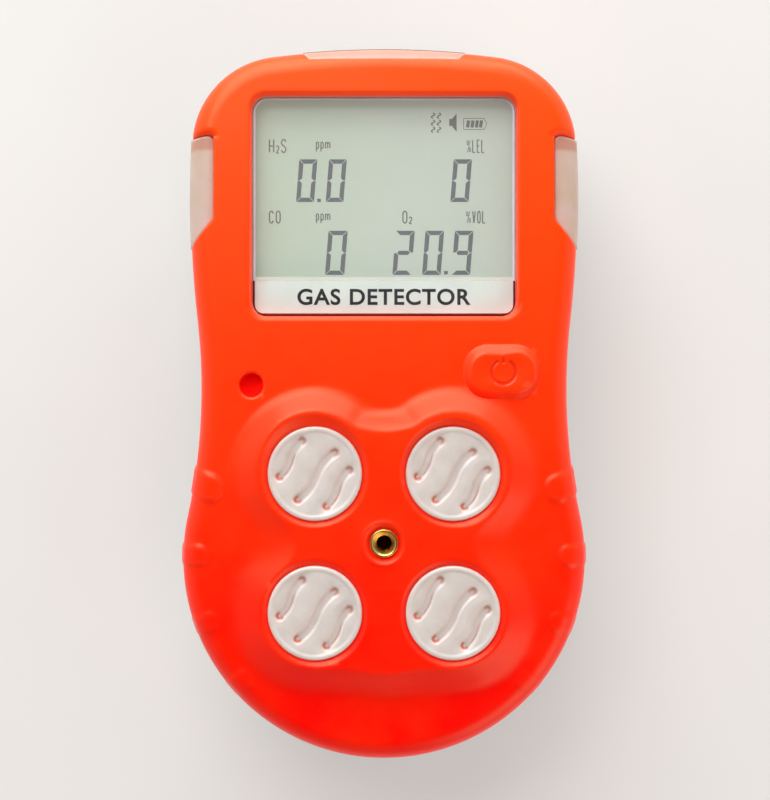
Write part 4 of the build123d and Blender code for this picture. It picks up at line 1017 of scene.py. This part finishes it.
# Letters as strokes in a box one wide and one high
GLYPHS = {
    "H": [[(0, 0), (0, 1)], [(1, 0), (1, 1)], [(0, 0.5), (1, 0.5)]],
    "S": [[(1, 0.82), (0.75, 1), (0.25, 1), (0, 0.82), (0, 0.65),
           (1, 0.35), (1, 0.18), (0.75, 0), (0.25, 0), (0, 0.18)]],
    "2": [[(0, 0.82), (0.25, 1), (0.75, 1), (1, 0.82), (1, 0.62), (0, 0), (1, 0)]],
    "p": [[(0, -0.35), (0, 0.7)],
          [(0, 0.6), (0.3, 0.7), (0.75, 0.7), (1, 0.5), (1, 0.2), (0.75, 0), (0.3, 0), (0, 0.1)]],
    "m": [[(0, 0), (0, 0.7)], [(0, 0.55), (0.25, 0.7), (0.5, 0.55), (0.5, 0)],
          [(0.5, 0.55), (0.75, 0.7), (1, 0.55), (1, 0)]],
    "%": [[(0.1, 0), (0.9, 1)], [(0, 0.62), (0.35, 0.62), (0.35, 0.95), (0, 0.95), (0, 0.62)],
          [(0.65, 0.05), (1, 0.05), (1, 0.38), (0.65, 0.38), (0.65, 0.05)]],
    "L": [[(0, 1), (0, 0), (1, 0)]],
    "E": [[(1, 1), (0, 1), (0, 0), (1, 0)], [(0, 0.52), (0.85, 0.52)]],
    "C": [[(1, 0.8), (0.75, 1), (0.25, 1), (0, 0.8), (0, 0.2), (0.25, 0), (0.75, 0), (1, 0.2)]],
    "O": [[(0.25, 0), (0, 0.2), (0, 0.8), (0.25, 1), (0.75, 1), (1, 0.8), (1, 0.2), (0.75, 0), (0.25, 0)]],
    "V": [[(0, 1), (0.5, 0), (1, 1)]],
}
BROAD = {"m": 1.6, "%": 1.3}


def drawn_word(text, low_x, high_x, low_y, high_y, weight=0.23, gap=0.32):
    """A word's strokes as bands, fitted into a box. The broad letters take more of its width."""
    shares = [BROAD.get(letter, 1.0) for letter in text]
    unit = (high_x - low_x) / (sum(shares) + gap * (len(text) - 1))
    weight = min(weight, 0.33 * unit)
    made = []
    for place, letter in enumerate(text):
        left = low_x + (sum(shares[:place]) + gap * place) * unit + weight / 2
        wide = shares[place] * unit - weight
        band = 0.6 * weight if letter == "%" else weight
        for line in GLYPHS[letter]:
            points = [(left + x * wide, low_y + weight / 2 + y * (high_y - low_y - weight)) for x, y in line]
            made += [ribbon(pair, band) for pair in zip(points, points[1:])]
    return made


def box(low_x, high_x, low_y, high_y):
    return [(low_x, low_y), (high_x, low_y), (high_x, high_y), (low_x, high_y)]


def add_film(name, polygons, z, finish, slot, thick=FILM_THICK):
    """Thin flat shapes at a height."""
    verts, faces = flat_solids(polygons, z, z + thick)
    add_piece(name, verts, faces, finish, slot=slot)


def make_display():
    """What the display shows: readings, units and signs."""
    upper, lower = (34.25, 41.55), (21.85, 29.4)
    readings = [("0", -14.7, -11.6, *upper), ("0", -9.65, -6.6, *upper), ("0", 11.55, 14.7, *upper),
                ("0", -9.75, -6.45, *lower), ("2", 1.7, 4.95, *lower), ("0", 6.75, 9.95, *lower),
                ("9", 11.75, 14.95, *lower)]
    bars = [bar for reading in readings for bar in digit(*reading)]
    bars += [box(-11.35, -10.75, 34.25, 34.85), box(10.2, 10.85, 21.95, 22.55)]
    # waves, a loudspeaker and a battery
    t = np.linspace(-1, 1, 9)
    signs = [ribbon(np.stack([x + 0.32 * np.sin(t * math.pi), y + 0.45 * t], 1), 0.2)
             for x in (8.35, 9.35) for y in (46.55, 47.75, 48.95)]
    signs.append([(11.1, 47.2), (11.55, 47.2), (12.35, 46.2), (12.35, 49.3), (11.55, 48.4), (11.1, 48.4)])
    outline = [(13.55, 46.6), (13.55, 48.5), (17.0, 48.5), (17.5, 47.55), (17.0, 46.6), (13.55, 46.6)]
    signs += [ribbon(line, 0.1) for line in zip(outline, outline[1:])]
    signs += [ribbon([(x, 46.95), (x + 0.2, 48.15)], 0.55) for x in (14.2, 14.95, 15.7, 16.4)]
    words = [
        ("H", -19.6, -18.65, 42.6, 45.0), ("2", -18.4, -17.8, 42.5, 43.9), ("S", -17.55, -16.6, 42.6, 45.0),
        ("ppm", -11.6, -9.1, 43.3, 45.0), ("%LEL", 14.05, 17.1, 42.6, 44.9), ("CO", -19.6, -17.55, 30.6, 32.8),
        ("ppm", -11.6, -9.1, 31.1, 32.8), ("O", 3.1, 4.0, 30.6, 32.8), ("2", 4.2, 4.8, 30.5, 31.8),
        ("%VOL", 13.95, 17.3, 30.6, 32.8),
    ]
    strokes = [stroke for word in words for stroke in drawn_word(*word)]
    for name, polygons, ink in (("lcd_digits", bars, "lcd_ink"), ("lcd_signs", signs, "lcd_faint_ink"),
                                ("lcd_units", strokes, "lcd_faint_ink")):
        add_film(name, polygons, LCD_TOP_Z + 0.005, ink, "display_glass")


def make_label():
    """Plain words on the pale strip along the window's lower edge."""
    curve = bpy.data.curves.new("label_words", "FONT")
    curve.body = "GAS DETECTOR"
    curve.extrude = 0.02
    curve.offset = 0.022
    curve.space_character = 1.08
    helper = linked("label_text", curve)
    bpy.context.view_layer.update()
    mesh = bpy.data.meshes.new_from_object(helper.evaluated_get(bpy.context.evaluated_depsgraph_get()))
    bpy.data.objects.remove(helper)
    points = np.array([v.co for v in mesh.vertices])
    faces = [tuple(p.vertices) for p in mesh.polygons]
    bpy.data.meshes.remove(mesh)
    low, size = (-14.6, 16.6, LENS_TOP_Z + 0.252), (29.2, 2.75, FILM_THICK)
    points = (points - points.min(0)) / np.ptp(points, axis=0) * size + low
    add_piece("label_words", points, faces, "label_ink", slot="label_film")


def make_lens_edge():
    """The lens's polished rim, pale as a painted reflection, the step above the label, and a dark film of painted
    shade in the gap round the label's lower edge.
    """
    ridge = ((0.03, 0.002), (0.10, 0.10), (0.22, 0.15), (0.36, 0.12), (0.5, 0.004), (0.25, 0.001))
    rows = [at_height(round_rect(WINDOW_LENS, -inset, like=WINDOW_COUNTS), LENS_TOP_Z + height)
            for inset, height in ridge]
    # painted reflection: the rim ridge is coloured pale where the clear lens reflects light
    add_piece("lens_rim", np.concatenate(rows), bands(len(rows), len(rows[0]), wrap=True), "lens_rim_glint",
              slot="clear_lens", sharp=70)
    add_film("lens_step", [box(-21.7, 21.7, 20.78, 21.35)], LENS_TOP_Z + 0.005, "lens_haze", "clear_lens", 0.025)
    # painted shade along the label's sides and lower edge
    loop = round_rect(WINDOW_LENS, -0.22, like=WINDOW_COUNTS)
    high = loop[:, 1] > 20.9
    first = np.flatnonzero(high & ~np.roll(high, -1))[0] + 1
    loop = np.roll(loop, -first, axis=0)[:np.count_nonzero(~high)]
    add_film("lens_gap_shade", [ribbon(loop, 0.34)], LENS_TOP_Z + 0.155, "lens_gap_shade", "clear_lens")


def make_port_mesh():
    """The red sheet that closes the sound port: a shallow dish."""
    radii = np.linspace(0.0, PORT_R - 0.01, 15)
    rings = [circle(PORT, radius, 40) for radius in radii]

    def top(query):
        return 29.3 + 0.5 * (polar(query, PORT)[0] / PORT_R) ** 3

    def bottom(query):
        return top(query) - 0.5

    verts, faces = sheet_solid(rings[-1:], rings[:-1], 0.04, 0.001, top, bottom)
    add_piece("port_mesh", verts, faces, "red_membrane", stands_for=["buzzer_membrane"])


# Back


def make_clip_spring():
    """A torsion spring of round wire on the clip's pin, one leg on the base and one on the arm."""
    y, z, half, radius, wire = 40.0, 3.4, 4.55, 1.78, 0.36
    steps = 11 * 24 + 12
    path = [(half, y + t, z + radius) for t in np.linspace(8.0, 0.4, 10)]
    for i in range(steps + 1):
        a = math.pi / 2 + 2 * math.pi * i / 24
        path.append((half - 2 * half * i / steps, y + radius * math.cos(a), z + radius * math.sin(a)))
    path += [(-half, y + t, z - radius) for t in np.linspace(0.4, 8.0, 10)]
    verts, faces = tube(path, wire)
    piece = add_piece("clip_spring_wire", verts, faces, "spring_steel", body=None, stands_for=["clip_spring"])
    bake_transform(piece)


def round_cad_edges():
    """Small rounded edges on the carried-over nodes that show."""
    for name, width in (("rear_cover", 0.2), ("clip_arm", 0.18), ("clip_base", 0.15), ("clip_pin", 0.12),
                        ("port_flap", 0.15), ("case_screws", 0.1), ("clip_screws", 0.1), ("rear_label", 0.05)):
        for kind, settings in (
            ("WELD", {"merge_threshold": 1e-6}),
            ("DECIMATE", {"decimate_type": "DISSOLVE", "angle_limit": math.radians(1.0)}),
            ("BEVEL", {"width": width * MM, "segments": 2, "limit_method": "ANGLE",
                       "angle_limit": math.radians(35), "miter_outer": "MITER_ARC"}),
            ("WEIGHTED_NORMAL", {"keep_sharp": True}),
        ):
            modifier = NODES[name].modifiers.new(kind.lower(), kind)
            for key, value in settings.items():
                setattr(modifier, key, value)


# Stage


def make_world():
    """A pale studio: brighter walls, most of all beyond the display's end, round a darker ceiling."""
    n = Nodes(bpy.data.worlds.new("studio"), "Generated")
    height = n.ramp(n.axis(2), 0.75, 0.05, 0.3, 0.8)
    side = n.ramp(n.axis(1), 0.45, 1.6, -1.0, 1.0)
    strength = n.add("Math", {0: height, 1: side}, operation="MULTIPLY")[0]
    n.feed(n.tree.nodes["Background"], {"Color": (0.97, 0.98, 1.0, 1), "Strength": strength})
    bpy.context.scene.world = n.block


def make_stage():
    """Floor, soft light from the display's end, and the camera above."""
    scene = bpy.context.scene
    half, low = 3.0, -0.0001
    mesh = bpy.data.meshes.new("floor")
    mesh.from_pydata([(x, y, low) for x, y in box(-half, half, -half, half)], [], [(0, 1, 2, 3)])
    mesh.materials.append(FINISHES["floor"])
    floor = linked("floor", mesh)

    for name, place, aim, size, power, colour in (
        ("key_light", (-0.18, 0.44, 0.52), (0, 0.01, 0.02), (0.55, 0.45), 3.6, (1.0, 0.985, 0.965)),
        ("window_light", (-0.04, 0.66, 0.25), (0, 0, 0.03), (0.9, 0.46), 4.2, (1.0, 0.99, 0.98)),
        ("fill_light", (0.45, -0.55, 0.34), (0, 0, 0.02), (0.6, 0.5), 2.3, (1.0, 0.72, 0.58)),
    ):
        light = bpy.data.lights.new(name, "AREA")
        light.shape = "RECTANGLE"
        light.size, light.size_y = size
        light.energy = power
        light.color = colour
        lamp = linked(name, light)
        lamp.location = place
        lamp.rotation_mode = "QUATERNION"
        lamp.rotation_quaternion = (Vector(aim) - Vector(place)).to_track_quat("-Z", "Y")
    scene.view_settings.view_transform = "Standard"

    lens = bpy.data.cameras.new("camera")
    lens.lens = 67.4
    lens.sensor_width = 36.0
    lens.clip_start = 0.01
    lens.clip_end = 20.0
    camera = linked("camera", lens)
    camera.location = (0.00017, 0.00059, 0.281)
    scene.camera = camera


finish_cad_nodes()
make_front_shell()
make_notch_sills()
for notch_side, (notch_path, notch_across, _) in zip(("right", "top", "left"), NOTCHES):
    make_alarm_window(notch_side, notch_path, notch_across)
make_power_button()
for sensor, sensor_centre in SENSORS.items():
    make_grille(sensor, sensor_centre)
make_cal_insert()
make_display()
make_label()
make_lens_edge()
make_port_mesh()
make_clip_spring()
round_cad_edges()
make_world()
make_stage()
